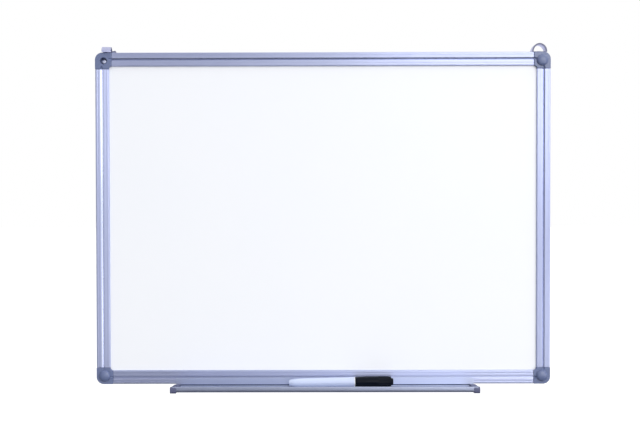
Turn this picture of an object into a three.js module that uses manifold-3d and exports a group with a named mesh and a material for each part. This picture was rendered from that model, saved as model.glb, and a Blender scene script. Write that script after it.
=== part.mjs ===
// Small wall whiteboard: aluminium frame, moulded corners, swivel hanger loops, pen tray, marker.
// Millimetres. +X runs to the reader's right, -Y towards the reader, +Z up.
// The origin is on the back of the top rail, half way along it, where the board bears on its wall.

import * as THREE from 'three';
import { mergeVertices } from 'three/addons/utils/BufferGeometryUtils.js';
import Module from 'manifold-3d';

const wasm = await Module();
wasm.setup();

// Overall board
const BOARD_WIDTH = 600;
const BOARD_HEIGHT = 438;
const FRAME_DEPTH = 20;
const FRAME_FACE = 18;

// Clearances
const JOINT_GAP = 0.2;
const FIT_GAP = 0.3;
const PANEL_PLAY = 0.1;

// Rail extrusion
const RAIL_WALL = 1.3;
const RAIL_FRONT_WALL = 2.9;
const RAIL_OUTER_RADIUS = 1.4;
const RAIL_INNER_RADIUS = 1.2;
const BAND_CROWN = 0.35;
const GROOVE_START = 7.1;
const GROOVE_SLOPE = 2.7;
const GROOVE_RETURN = 0.6;
const GROOVE_DEPTH = 1.9;
const PANEL_GRIP = 3.4;
const RUNNER_SLOT_WIDTH = 2.4;
const RUNNER_SLOT_FROM_BACK = 4.2;
const RUNNER_CHANNEL_DEPTH = 2.6;
const RUNNER_CHANNEL_HEIGHT = 6.6;

// Panel sandwich
const SHEET_THICKNESS = 0.4;
const CORE_THICKNESS = 10;
const BACKING_THICKNESS = 0.4;
const PANEL_CORNER_CLIP = 3.5;

// Moulded corners, their keys and screws
const CORNER_SIZE = 22;
const CORNER_RADIUS = 9.6;
const CORNER_PROUD_FRONT = 0.6;
const CORNER_EDGE_ROUND = 0.5;
const CORNER_BACK_WALL = 2;
const CORNER_SIDE_WALL = 2.5;
const CORNER_GROOVE_LENGTH = 4;
const SCREW_INSET = 11.1;
const COUNTERBORE_DIAMETER = 8.8;
const SCREW_HEAD_DEPTH = 5;
const SCREW_HEAD_DIAMETER = 6;
const SCREW_HEAD_HEIGHT = 2.4;
const SCREW_HEAD_EDGE = 1;
const SCREW_RECESS_RADIUS = 1.4;
const SCREW_RECESS_DEPTH = 1.3;
const SCREW_DIAMETER = 2.9;
const KEY_THICKNESS = 5.2;
const KEY_LEG_LENGTH = 35;
const KEY_CORNER_CLIP = 2.8;

// Cover plugs
const PLUG_DIAMETER = 14.6;
const PLUG_DOME = 3.5;
const PLUG_RIM = 0.8;
const PLUG_STEM_LENGTH = 4.6;
const PLUG_STEM_CHAMFER = 0.6;

// Hanger loops
const HANGER_INSET = 14.2;
const HANGER_FROM_BACK = 12.8;
const LOOP_RADIUS = 10;
const LEFT_LOOP_HEIGHT = 8.2;
const RIGHT_LOOP_HEIGHT = 11.4;
const LEFT_LOOP_TURN = -82;
const LOOP_THICKNESS = 2;
const LOOP_WIDTH = 12;
const LOOP_BAR_WIDTH = 5.2;
const LOOP_BAR_THICKNESS = 0.9;
const TONGUE_REACH = 6.4;
const TONGUE_WIDTH = 7;
const TONGUE_THICKNESS = 1.4;
const TONGUE_RISE = 1.6;
const TONGUE_ROOT_LENGTH = 4;
const PAD_SETBACK = 1;
const RIVET_DIAMETER = 2.6;
const RIVET_HEAD_DIAMETER = 4.6;
const RIVET_HEAD_HEIGHT = 0.5;
const RIVET_HEAD_EDGE = 0.2;
const RIVET_BITE = 3.6;

// Pen tray
const TRAY_LENGTH = 397.2;
const TRAY_CENTRE_X = 2.2;
const TRAY_REACH = 37;
const TRAY_WALL = 1.3;
const TRAY_FLANGE_HEIGHT = 8.9;
const TRAY_FLOOR_DROP = 2.3;
const TRAY_LIP_RISE = 4.1;
const TRAY_NOSE_RADIUS = 3.8;
const TRAY_CURL_RADIUS = 1.1;
const TRAY_END_WIDTH = 8;
const TRAY_END_WALL = 1.8;
const TRAY_END_PROUD = 0.9;
const TRAY_END_RADIUS = 3;
const TRAY_END_SLOPE = 1;

// Marker
const MARKER_TAIL_X = -44.7;
const MARKER_FROM_FLANGE = 1.1;
const MARKER_BODY_LENGTH = 85.2;
const MARKER_TAIL_RADIUS = 5.7;
const MARKER_NECK_RADIUS = 6.35;
const MARKER_TAIL_ROUND = 2.1;
const MARKER_TAIL_FALLOFF = 14;
const MARKER_BORE_RADIUS = 3.6;
const MARKER_WALL = 1.1;
const MARKER_TAIL_PLUG_LENGTH = 5;
const MARKER_COLLAR_LENGTH = 1.1;
const MARKER_CAP_LENGTH = 47;
const MARKER_CAP_RADIUS = 7;
const MARKER_CAP_MOUTH_RADIUS = 6.5;
const MARKER_CAP_END_RADIUS = 6;
const MARKER_CAP_WALL = 1.2;
const MARKER_KNOB_LENGTH = 2.7;
const MARKER_KNOB_RADIUS = 4.2;
const MARKER_EDGE = 0.4;
const MARKER_SPIGOT_RADIUS = 4.7;
const MARKER_SPIGOT_LENGTH = 15;
const MARKER_SPIGOT_TAPER = 6;
const MARKER_HOLDER_ROOT = 12;
const MARKER_HOLDER_TAPER = 8;
const MARKER_NIB_RADIUS = 2.3;
const MARKER_NIB_REACH = 7;
const MARKER_NIB_TAPER = 3;

// Facet counts
const ARC_STEPS = 8;
const ROUND_SIDES = 40;
const THIN_SIDES = 24;
const BARREL_STEPS = 12;

// Places worked out from the sizes above
const PANEL_INSET = FRAME_FACE - PANEL_GRIP;
const PANEL_FRONT = FRAME_DEPTH - RAIL_FRONT_WALL - PANEL_PLAY;
const CORE_FRONT = PANEL_FRONT - SHEET_THICKNESS;
const CORE_BACK = CORE_FRONT - CORE_THICKNESS;
const PANEL_BACK = CORE_BACK - BACKING_THICKNESS;
const SEAT = PANEL_INSET - FIT_GAP;
const CHANNEL_FLOOR = RAIL_WALL;
const CHANNEL_TOP = CHANNEL_FLOOR + RUNNER_CHANNEL_DEPTH;
const CHANNEL_FRONT = RAIL_WALL + RUNNER_CHANNEL_HEIGHT;
const CORNER_FRONT = FRAME_DEPTH + CORNER_PROUD_FRONT;
const KEY_BACK = CORNER_BACK_WALL + FIT_GAP;
const KEY_FRONT = KEY_BACK + KEY_THICKNESS;
const SCREW_HEAD_TOP = CORNER_FRONT - SCREW_HEAD_DEPTH;
const SCREW_SEAT = SCREW_HEAD_TOP - SCREW_HEAD_HEIGHT - PANEL_PLAY;
const HANGER_X = BOARD_WIDTH / 2 - HANGER_INSET;
const TRAY_EDGE = -BOARD_HEIGHT / 2;

const finish = (color, roughness, metalness) => new THREE.MeshStandardMaterial({
  color, roughness, metalness,
});

const anodised = finish(0xc6cde8, 0.38, 0.9);
const trayMetal = finish(0xbac2e2, 0.36, 0.9);
const enamel = finish(0xf8faff, 0.18, 0);
const fibreboard = finish(0xa88a62, 0.9, 0);
const backingSteel = finish(0xa9adb3, 0.5, 0.6);
const cornerPlastic = finish(0x7b86a8, 0.45, 0);
const keyPlastic = finish(0x4a4d55, 0.6, 0);
const zinc = finish(0xc8ccd6, 0.3, 0.9);
const loopSteel = finish(0xa4a9c0, 0.4, 0.7);
const padPlastic = finish(0x8e97b0, 0.6, 0);
const trayEndPlastic = finish(0x5c6186, 0.5, 0);
const barrelPlastic = finish(0xd6dff7, 0.35, 0);
const blackPlastic = finish(0x15171f, 0.32, 0);
const holderPlastic = finish(0xe6e8ec, 0.45, 0);
const felt = finish(0x1b1c22, 0.95, 0);
const fibre = finish(0x3b3d46, 0.95, 0);

// Solids and meshes

function toSolid(geometry) {
  const bare = geometry.clone();
  bare.deleteAttribute('normal');
  bare.deleteAttribute('uv');
  const merged = mergeVertices(bare, 1e-5);
  return new wasm.Manifold(new wasm.Mesh({
    numProp: 3,
    vertProperties: new Float32Array(merged.attributes.position.array),
    triVerts: new Uint32Array(merged.index.array),
  }));
}

function toGeometry(solid) {
  const mesh = solid.getMesh();
  const geometry = new THREE.BufferGeometry();
  geometry.setAttribute('position', new THREE.BufferAttribute(new Float32Array(mesh.vertProperties), 3));
  geometry.setIndex(new THREE.BufferAttribute(new Uint32Array(mesh.triVerts), 1));
  geometry.computeVertexNormals();
  return geometry;
}

function cut(geometry, cutters) {
  return toGeometry(cutters.reduce((solid, cutter) => solid.subtract(toSolid(cutter)), toSolid(geometry)));
}

function join(geometries) {
  return toGeometry(geometries.map(toSolid).reduce((whole, piece) => whole.add(piece)));
}

function namedMesh(name, geometry, material) {
  const mesh = new THREE.Mesh(geometry, material);
  mesh.name = name;
  return mesh;
}

function extrude(shape, depth) {
  return new THREE.ExtrudeGeometry(shape, { depth, bevelEnabled: false, curveSegments: ARC_STEPS });
}

// The sense in which a drawn (first, second) plane and its extrusion lie on the board's axes
function axes(first, second, run) {
  return new THREE.Matrix4().makeBasis(
    new THREE.Vector3(...first), new THREE.Vector3(...second), new THREE.Vector3(...run));
}

// A section drawn as (distance in from the bottom edge, distance from the back), run along +X
const SECTION_VIEW = axes([0, 0, 1], [0, -1, 0], [1, 0, 0]);
// A side view drawn as (y, z), run along +X
const SIDE_VIEW = axes([0, 1, 0], [0, 0, 1], [1, 0, 0]);
// A front view drawn as (x, z), run towards the reader
const FRONT_VIEW = axes([1, 0, 0], [0, 0, 1], [0, -1, 0]);

function alongX(shape, length) {
  return extrude(shape, length).translate(0, 0, -length / 2).applyMatrix4(SECTION_VIEW);
}

function sideViewAlongX(shape, length, start) {
  return extrude(shape, length).applyMatrix4(SIDE_VIEW).translate(start, 0, 0);
}

function frontView(shape, depth, fromBack) {
  return extrude(shape, depth).applyMatrix4(FRONT_VIEW).translate(0, -fromBack, 0);
}

function polygon(points) {
  return new THREE.Shape(points.map(([across, up]) => new THREE.Vector2(across, up)));
}

function rectangle(left, right, low, high) {
  return polygon([[left, low], [right, low], [right, high], [left, high]]);
}

// A square from low to high both ways, with the corner at (low, low) clipped off
function clippedSquare(low, high, clip) {
  return polygon([[low + clip, low], [high, low], [high, high], [low, high], [low, low + clip]]);
}

// A turned solid on the Z axis, from (radius, height) points that start and end on the axis
function turned(profile, sides = ROUND_SIDES) {
  const points = profile.map(([radius, height]) => new THREE.Vector2(radius, height));
  return new THREE.LatheGeometry(points, sides).rotateX(Math.PI / 2);
}

function rod(radius, low, high, sides = ROUND_SIDES) {
  return turned([[0, low], [radius, low], [radius, high], [0, high]], sides);
}

// A strip of even thickness along a drawn line, with mitred corners
function strip(line, thickness) {
  const half = thickness / 2;
  const side = (sign) => line.map((point, i) => {
    const before = i > 0 ? point.clone().sub(line[i - 1]).normalize() : null;
    const after = i < line.length - 1 ? line[i + 1].clone().sub(point).normalize() : null;
    const first = before ?? after;
    const second = after ?? before;
    const normal = new THREE.Vector2(-first.y - second.y, first.x + second.x).normalize();
    const stretch = half / (normal.x * -first.y + normal.y * first.x);
    return point.clone().addScaledVector(normal, sign * stretch);
  });
  return new THREE.Shape([...side(1), ...side(-1).reverse()]);
}

function arcPoints(x, y, radius, from, to) {
  return Array.from({ length: ARC_STEPS + 1 }, (_, i) => {
    const angle = from + (to - from) * i / ARC_STEPS;
    return new THREE.Vector2(x + radius * Math.cos(angle), y + radius * Math.sin(angle));
  });
}

// Frame rails

const GROOVE_BOTTOM = GROOVE_START + GROOVE_SLOPE;
const GROOVE_END = GROOVE_BOTTOM + GROOVE_RETURN;

function railSection() {
  const inner = FRAME_FACE;
  const front = FRAME_DEPTH;
  const shoulder = front - BAND_CROWN;
  const flangeFront = PANEL_BACK - PANEL_PLAY;
  const slotFront = RUNNER_SLOT_FROM_BACK + RUNNER_SLOT_WIDTH;
  const bandTop = front + BAND_CROWN;
  const section = new THREE.Shape();
  section.moveTo(0, 0);
  section.lineTo(SEAT, 0);
  section.lineTo(SEAT, flangeFront - RAIL_WALL);
  section.lineTo(inner, flangeFront - RAIL_WALL);
  section.lineTo(inner, flangeFront);
  section.lineTo(SEAT, flangeFront);
  section.lineTo(SEAT, front - RAIL_FRONT_WALL);
  section.lineTo(inner, front - RAIL_FRONT_WALL);
  section.lineTo(inner, shoulder - RAIL_INNER_RADIUS);
  section.quadraticCurveTo(inner, shoulder, inner - RAIL_INNER_RADIUS, shoulder);
  section.quadraticCurveTo((inner - RAIL_INNER_RADIUS + GROOVE_END) / 2, bandTop, GROOVE_END, shoulder);
  section.lineTo(GROOVE_BOTTOM + GROOVE_RETURN / 3, front - GROOVE_DEPTH);
  section.lineTo(GROOVE_BOTTOM, front - GROOVE_DEPTH);
  section.lineTo(GROOVE_START, shoulder);
  section.quadraticCurveTo((RAIL_OUTER_RADIUS + GROOVE_START) / 2, bandTop, RAIL_OUTER_RADIUS, shoulder);
  section.quadraticCurveTo(0, shoulder, 0, shoulder - RAIL_OUTER_RADIUS);
  section.lineTo(0, slotFront);
  section.lineTo(CHANNEL_FLOOR, slotFront);
  section.lineTo(CHANNEL_FLOOR, CHANNEL_FRONT);
  section.lineTo(CHANNEL_TOP, CHANNEL_FRONT);
  section.lineTo(CHANNEL_TOP, RAIL_WALL);
  section.lineTo(CHANNEL_FLOOR, RAIL_WALL);
  section.lineTo(CHANNEL_FLOOR, RUNNER_SLOT_FROM_BACK);
  section.lineTo(0, RUNNER_SLOT_FROM_BACK);
  section.closePath();

  const chamber = new THREE.Path();
  chamber.moveTo(CHANNEL_TOP + RAIL_WALL, RAIL_WALL);
  chamber.lineTo(SEAT - RAIL_WALL, RAIL_WALL);
  chamber.lineTo(SEAT - RAIL_WALL, front - RAIL_FRONT_WALL);
  chamber.lineTo(CHANNEL_FLOOR, front - RAIL_FRONT_WALL);
  chamber.lineTo(CHANNEL_FLOOR, CHANNEL_FRONT + RAIL_WALL);
  chamber.lineTo(CHANNEL_TOP + RAIL_WALL, CHANNEL_FRONT + RAIL_WALL);
  chamber.closePath();
  section.holes.push(chamber);
  return section;
}

function rail(name, span, halfAcross, turn) {
  const length = span - 2 * (CORNER_SIZE + JOINT_GAP);
  const geometry = alongX(railSection(), length).translate(0, 0, -halfAcross);
  const mesh = namedMesh(name, geometry, anodised);
  mesh.rotation.y = turn;
  return mesh;
}

function makeRails() {
  return [
    rail('rail_bottom', BOARD_WIDTH, BOARD_HEIGHT / 2, 0),
    rail('rail_left', BOARD_HEIGHT, BOARD_WIDTH / 2, Math.PI / 2),
    rail('rail_top', BOARD_WIDTH, BOARD_HEIGHT / 2, Math.PI),
    rail('rail_right', BOARD_HEIGHT, BOARD_WIDTH / 2, -Math.PI / 2),
  ];
}

// Panel: enamelled writing sheet, core board and backing sheet, clipped to clear the corner screws

function makePanel() {
  const halfWidth = BOARD_WIDTH / 2 - PANEL_INSET;
  const halfHeight = BOARD_HEIGHT / 2 - PANEL_INSET;
  const shortWidth = halfWidth - PANEL_CORNER_CLIP;
  const shortHeight = halfHeight - PANEL_CORNER_CLIP;
  const outline = polygon([
    [-shortWidth, -halfHeight], [shortWidth, -halfHeight], [halfWidth, -shortHeight],
    [halfWidth, shortHeight], [shortWidth, halfHeight], [-shortWidth, halfHeight],
    [-halfWidth, shortHeight], [-halfWidth, -shortHeight],
  ]);
  const layer = (name, back, thickness, material) => namedMesh(
    name, frontView(outline, thickness, back), material);
  return [
    layer('writing_sheet', CORE_FRONT, SHEET_THICKNESS, enamel),
    layer('core_board', CORE_BACK, CORE_THICKNESS, fibreboard),
    layer('backing_sheet', PANEL_BACK, BACKING_THICKNESS, backingSteel),
  ];
}

// Corners: each is drawn at the bottom left, with its outer corner at (0, 0), and then turned

const CORNERS = [
  { place: 'bottom_left', side: -1, end: -1, turn: 0 },
  { place: 'top_left', side: -1, end: 1, turn: Math.PI / 2 },
  { place: 'top_right', side: 1, end: 1, turn: Math.PI },
  { place: 'bottom_right', side: 1, end: -1, turn: -Math.PI / 2 },
];

function cornerOutline() {
  const web = CORNER_SIZE - FRAME_FACE;
  const outline = new THREE.Shape();
  outline.moveTo(CORNER_RADIUS, 0);
  outline.lineTo(CORNER_SIZE, 0);
  outline.lineTo(CORNER_SIZE, FRAME_FACE);
  outline.absarc(CORNER_SIZE, CORNER_SIZE, web, -Math.PI / 2, -Math.PI, true);
  outline.lineTo(0, CORNER_SIZE);
  outline.lineTo(0, CORNER_RADIUS);
  outline.absarc(CORNER_RADIUS, CORNER_RADIUS, CORNER_RADIUS, Math.PI, 1.5 * Math.PI);
  return outline;
}

function cornerBlock() {
  const geometry = new THREE.ExtrudeGeometry(cornerOutline(), {
    depth: CORNER_FRONT - 2 * CORNER_EDGE_ROUND,
    bevelThickness: CORNER_EDGE_ROUND,
    bevelSize: CORNER_EDGE_ROUND,
    bevelOffset: -CORNER_EDGE_ROUND,
    bevelSegments: 3,
    curveSegments: ARC_STEPS,
  });
  geometry.translate(0, 0, CORNER_EDGE_ROUND);
  return geometry.applyMatrix4(FRONT_VIEW);
}

// A short continuation of the rail's groove, along +X and, mirrored over the diagonal, along +Z
function grooveCutters() {
  const above = CORNER_FRONT + 1;
  const profile = [
    [GROOVE_START, above], [GROOVE_START, CORNER_FRONT], [GROOVE_BOTTOM, CORNER_FRONT - GROOVE_DEPTH],
    [GROOVE_END, CORNER_FRONT], [GROOVE_END, above],
  ];
  const length = CORNER_GROOVE_LENGTH + 1;
  const start = CORNER_SIZE - CORNER_GROOVE_LENGTH;
  const acrossX = alongX(polygon(profile), length).translate(start + length / 2, 0, 0);
  const mirrored = polygon(profile.map(([inFromEdge, fromBack]) => [inFromEdge, -fromBack]));
  const acrossZ = extrude(mirrored, length).translate(0, 0, start);
  return [acrossX, acrossZ];
}

function alongBack(geometry) {
  return geometry.rotateX(Math.PI / 2);
}

function cornerCap({ place, side, end, turn }) {
  const open = CORNER_SIZE + 1;
  const keySlab = frontView(clippedSquare(CORNER_SIDE_WALL, open, KEY_CORNER_CLIP),
    KEY_FRONT + FIT_GAP - CORNER_BACK_WALL, CORNER_BACK_WALL);
  const panelPocket = frontView(clippedSquare(SEAT, open, PANEL_CORNER_CLIP),
    PANEL_FRONT - PANEL_BACK + 2 * PANEL_PLAY, PANEL_BACK - PANEL_PLAY);
  const screwHole = alongBack(rod(SCREW_DIAMETER / 2 + FIT_GAP, KEY_BACK, CORNER_FRONT + 1));
  const counterbore = alongBack(rod(COUNTERBORE_DIAMETER / 2, SCREW_SEAT, CORNER_FRONT + 1));
  screwHole.translate(SCREW_INSET, 0, SCREW_INSET);
  counterbore.translate(SCREW_INSET, 0, SCREW_INSET);
  const cutters = [keySlab, panelPocket, screwHole, counterbore, ...grooveCutters()];
  if (end > 0) {
    cutters.push(rivetHole(side));
  }
  const mesh = namedMesh(`corner_cap_${place}`, cut(cornerBlock(), cutters), cornerPlastic);
  mesh.rotation.y = turn;
  mesh.position.set(side * BOARD_WIDTH / 2, 0, end * BOARD_HEIGHT / 2);
  return mesh;
}

// The rivet's hole in a top corner, drawn in that corner's own unturned position
function rivetHole(side) {
  const hole = rod(RIVET_DIAMETER / 2 + JOINT_GAP, -1, RIVET_BITE + JOINT_GAP);
  if (side < 0) {
    hole.rotateY(Math.PI / 2);
    return hole.translate(0, -HANGER_FROM_BACK, HANGER_INSET);
  }
  return hole.translate(HANGER_INSET, -HANGER_FROM_BACK, 0);
}

function cornerKey({ place, side, end, turn }) {
  const legEnd = CORNER_SIZE + KEY_LEG_LENGTH;
  const legLow = CHANNEL_TOP + RAIL_WALL + FIT_GAP;
  const legHigh = SEAT - RAIL_WALL - FIT_GAP;
  const low = CORNER_SIDE_WALL + FIT_GAP;
  const high = SEAT - FIT_GAP;
  const blockEnd = CORNER_SIZE - FIT_GAP;
  const half = [[low + KEY_CORNER_CLIP, low], [blockEnd, low], [blockEnd, legLow], [legEnd, legLow],
    [legEnd, legHigh], [blockEnd, legHigh], [blockEnd, high]];
  const otherHalf = half.toReversed().map(([x, z]) => [z, x]);
  const outline = polygon([...half, [high, high], ...otherHalf]);
  const body = frontView(outline, KEY_THICKNESS, KEY_BACK);
  const hole = alongBack(rod(SCREW_DIAMETER / 2 + JOINT_GAP, 0, FRAME_DEPTH));
  hole.translate(SCREW_INSET, 0, SCREW_INSET);
  const mesh = namedMesh(`corner_key_${place}`, cut(body, [hole]), keyPlastic);
  mesh.rotation.y = turn;
  mesh.position.set(side * BOARD_WIDTH / 2, 0, end * BOARD_HEIGHT / 2);
  return mesh;
}

function placeOnScrew(mesh, side, end) {
  mesh.position.set(side * (BOARD_WIDTH / 2 - SCREW_INSET), 0, end * (BOARD_HEIGHT / 2 - SCREW_INSET));
  return mesh;
}

function cornerScrew({ place, side, end }) {
  const head = SCREW_HEAD_DIAMETER / 2;
  const shank = SCREW_DIAMETER / 2;
  const seat = SCREW_SEAT + PANEL_PLAY;
  const tip = KEY_BACK + FIT_GAP;
  const profile = [
    [0, tip], [shank, tip + shank], [shank, seat], [head, seat], [head, SCREW_HEAD_TOP - SCREW_HEAD_EDGE],
    [head - SCREW_HEAD_EDGE / 2, SCREW_HEAD_TOP - SCREW_HEAD_EDGE / 4], [SCREW_RECESS_RADIUS, SCREW_HEAD_TOP],
    [SCREW_RECESS_RADIUS / 2, SCREW_HEAD_TOP - SCREW_RECESS_DEPTH], [0, SCREW_HEAD_TOP - SCREW_RECESS_DEPTH],
  ];
  return placeOnScrew(namedMesh(`corner_screw_${place}`, alongBack(turned(profile)), zinc), side, end);
}

// A quarter-round crown on the axis, from its rim inwards, as (radius, height) points
function crown(radius, rimHeight, rise) {
  const points = arcPoints(0, 0, 1, 0, Math.PI / 2).map(
    (point) => [radius * point.x, rimHeight + rise * point.y]);
  points[points.length - 1][0] = 0;
  return points;
}

function coverPlug({ place, side, end }) {
  const radius = PLUG_DIAMETER / 2;
  const rimBack = CORNER_FRONT + PANEL_PLAY;
  const stem = COUNTERBORE_DIAMETER / 2 - FIT_GAP;
  const stemEnd = rimBack - PLUG_STEM_LENGTH;
  const profile = [
    [0, stemEnd], [stem - PLUG_STEM_CHAMFER, stemEnd], [stem, stemEnd + PLUG_STEM_CHAMFER], [stem, rimBack],
    [radius, rimBack], ...crown(radius, rimBack + PLUG_RIM, PLUG_DOME),
  ];
  return placeOnScrew(namedMesh(`cover_plug_${place}`, alongBack(turned(profile)), cornerPlastic), side, end);
}

function makeCorners() {
  const plugged = CORNERS.filter(({ place }) => place !== 'top_left');
  const everywhere = [cornerCap, cornerKey, cornerScrew].flatMap((make) => CORNERS.map(make));
  return [...everywhere, ...plugged.map(coverPlug)];
}

// Hangers: a strap arch on a narrow bar, which swivels on a rivet and has a tongue that holds a friction pad

const LOOP_BASE = BOARD_HEIGHT / 2 + JOINT_GAP;
const TONGUE_MID = TONGUE_THICKNESS / 2 + TONGUE_RISE;
const TONGUE_TIP = LOOP_WIDTH / 2 + TONGUE_REACH - TONGUE_THICKNESS / 2;
const TONGUE_BEND = TONGUE_TIP - TONGUE_THICKNESS;

function hangerLoop(height) {
  const outline = new THREE.Shape();
  outline.absellipse(0, 0, LOOP_RADIUS, height, 0, Math.PI);
  outline.lineTo(LOOP_THICKNESS - LOOP_RADIUS, 0);
  outline.absellipse(0, 0, LOOP_RADIUS - LOOP_THICKNESS, height - LOOP_THICKNESS, Math.PI, 0, true);
  outline.closePath();
  const arch = new THREE.ExtrudeGeometry(outline, {
    depth: LOOP_WIDTH, bevelEnabled: false, curveSegments: 2 * ARC_STEPS,
  });
  arch.applyMatrix4(FRONT_VIEW).translate(0, LOOP_WIDTH / 2, 0);
  const barEnd = LOOP_RADIUS - LOOP_THICKNESS / 2;
  const barOutline = rectangle(-barEnd, barEnd, 0, LOOP_BAR_THICKNESS);
  const bar = frontView(barOutline, LOOP_BAR_WIDTH, -LOOP_BAR_WIDTH / 2);
  const line = [
    new THREE.Vector2(0, TONGUE_THICKNESS / 2),
    new THREE.Vector2(TONGUE_ROOT_LENGTH, TONGUE_THICKNESS / 2),
    ...arcPoints(TONGUE_BEND, TONGUE_MID - TONGUE_THICKNESS, TONGUE_THICKNESS, Math.PI / 2, 0),
    new THREE.Vector2(TONGUE_TIP, JOINT_GAP),
  ];
  const tongue = sideViewAlongX(strip(line, TONGUE_THICKNESS), TONGUE_WIDTH, -TONGUE_WIDTH / 2);
  const seat = rod(RIVET_HEAD_DIAMETER / 2 + FIT_GAP, LOOP_BAR_THICKNESS, LOOP_THICKNESS);
  return cut(join([arch, bar, tongue]), [rod(RIVET_DIAMETER / 2 + FIT_GAP, -1, LOOP_THICKNESS), seat]);
}

// A wedge under the tongue's slope
function hangerPad() {
  const gap = TONGUE_THICKNESS / 2 + JOINT_GAP;
  const slope = (TONGUE_MID - TONGUE_THICKNESS / 2) / (TONGUE_BEND - TONGUE_ROOT_LENGTH);
  const under = (reach) => TONGUE_THICKNESS / 2 + slope * (reach - TONGUE_ROOT_LENGTH) - gap;
  const start = LOOP_WIDTH / 2 + PAD_SETBACK;
  const end = TONGUE_BEND;
  const wedge = polygon([[start, 0], [end, 0], [end, under(end)], [start, under(start)]]);
  return sideViewAlongX(wedge, TONGUE_WIDTH - 2 * FIT_GAP, FIT_GAP - TONGUE_WIDTH / 2);
}

function rivet() {
  const low = -JOINT_GAP - RIVET_BITE;
  const seat = LOOP_BAR_THICKNESS + PANEL_PLAY;
  const head = RIVET_HEAD_DIAMETER / 2;
  const shank = RIVET_DIAMETER / 2;
  return turned([[0, low], [shank, low], [shank, seat], [head, seat],
    ...crown(head, seat + RIVET_HEAD_EDGE, RIVET_HEAD_HEIGHT - RIVET_HEAD_EDGE)], THIN_SIDES);
}

function makeHanger(place, side, height, turn) {
  const hanger = new THREE.Group();
  hanger.position.set(side * HANGER_X, -HANGER_FROM_BACK, LOOP_BASE);
  hanger.rotation.z = THREE.MathUtils.degToRad(turn);
  hanger.add(namedMesh(`hanger_loop_${place}`, hangerLoop(height), loopSteel));
  hanger.add(namedMesh(`hanger_pad_${place}`, hangerPad(), padPlastic));
  hanger.add(namedMesh(`hanger_rivet_${place}`, rivet(), zinc));
  return hanger;
}

// Pen tray: a rolled extrusion whose rear runner rides in the bottom rail's slot

const TRAY_FRONT = -(FRAME_DEPTH + TRAY_REACH);
const FLANGE_MID = -(FRAME_DEPTH + FIT_GAP + TRAY_WALL / 2);
const TRAY_FLOOR_TOP = TRAY_EDGE - TRAY_FLOOR_DROP;
const TRAY_FLOOR_MID = TRAY_FLOOR_TOP - TRAY_WALL / 2;
const TRAY_LIP_TOP = TRAY_EDGE + TRAY_LIP_RISE;
const TRAY_METAL_LENGTH = TRAY_LENGTH - 2 * (TRAY_END_WALL + JOINT_GAP);

function troughLine() {
  const lip = TRAY_FRONT + TRAY_WALL / 2;
  const curl = TRAY_LIP_TOP - TRAY_WALL / 2 - TRAY_CURL_RADIUS;
  return [
    new THREE.Vector2(FLANGE_MID, TRAY_EDGE + TRAY_FLANGE_HEIGHT),
    ...arcPoints(FLANGE_MID - TRAY_WALL, TRAY_FLOOR_MID + TRAY_WALL, TRAY_WALL, 0, -Math.PI / 2),
    ...arcPoints(lip + TRAY_NOSE_RADIUS, TRAY_FLOOR_MID + TRAY_NOSE_RADIUS, TRAY_NOSE_RADIUS,
      -Math.PI / 2, -Math.PI),
    ...arcPoints(lip + TRAY_CURL_RADIUS, curl, TRAY_CURL_RADIUS, Math.PI, 0),
  ];
}

function runnerLine() {
  const rib = -(RUNNER_SLOT_FROM_BACK + RUNNER_SLOT_WIDTH / 2);
  const foot = TRAY_EDGE - FIT_GAP - TRAY_WALL / 2;
  const barb = TRAY_EDGE + CHANNEL_FLOOR + FIT_GAP + TRAY_WALL / 2;
  return [
    new THREE.Vector2(FLANGE_MID, foot),
    new THREE.Vector2(rib, foot),
    new THREE.Vector2(rib, barb),
    new THREE.Vector2(-(RAIL_WALL + FIT_GAP), barb),
  ];
}

function trayEndOutline() {
  const back = FLANGE_MID - TRAY_WALL / 2 - FIT_GAP;
  const front = TRAY_FRONT - TRAY_END_PROUD;
  const bottom = TRAY_FLOOR_TOP - TRAY_WALL - TRAY_END_PROUD;
  const corner = TRAY_END_RADIUS;
  const outline = new THREE.Shape();
  outline.moveTo(back, bottom);
  outline.lineTo(back, TRAY_EDGE);
  outline.lineTo(TRAY_FRONT + TRAY_NOSE_RADIUS, TRAY_LIP_TOP - TRAY_END_SLOPE);
  outline.lineTo(front + corner, TRAY_LIP_TOP);
  outline.quadraticCurveTo(front, TRAY_LIP_TOP, front, TRAY_LIP_TOP - corner);
  outline.lineTo(front, bottom + corner);
  outline.quadraticCurveTo(front, bottom, front + corner, bottom);
  outline.closePath();
  return outline;
}

function trayEnd(place, side) {
  const body = sideViewAlongX(trayEndOutline(), TRAY_END_WIDTH, -TRAY_LENGTH / 2);
  const socketLength = TRAY_END_WIDTH - TRAY_END_WALL + 1;
  const socket = sideViewAlongX(strip(troughLine(), TRAY_WALL + 2 * FIT_GAP), socketLength,
    TRAY_END_WALL - TRAY_LENGTH / 2);
  const opening = rectangle(TRAY_FRONT - FIT_GAP, TRAY_FRONT + 2 * (TRAY_WALL + TRAY_CURL_RADIUS),
    TRAY_LIP_TOP - TRAY_WALL - TRAY_CURL_RADIUS, TRAY_LIP_TOP + 1);
  const topOpening = sideViewAlongX(opening, socketLength, TRAY_END_WALL - TRAY_LENGTH / 2);
  const geometry = cut(body, [socket, topOpening]);
  if (side > 0) {
    geometry.scale(-1, 1, 1);
    const index = geometry.index.array;
    for (let i = 0; i < index.length; i += 3) {
      [index[i], index[i + 1]] = [index[i + 1], index[i]];
    }
    geometry.computeVertexNormals();
  }
  return namedMesh(`tray_end_${place}`, geometry, trayEndPlastic);
}

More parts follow.
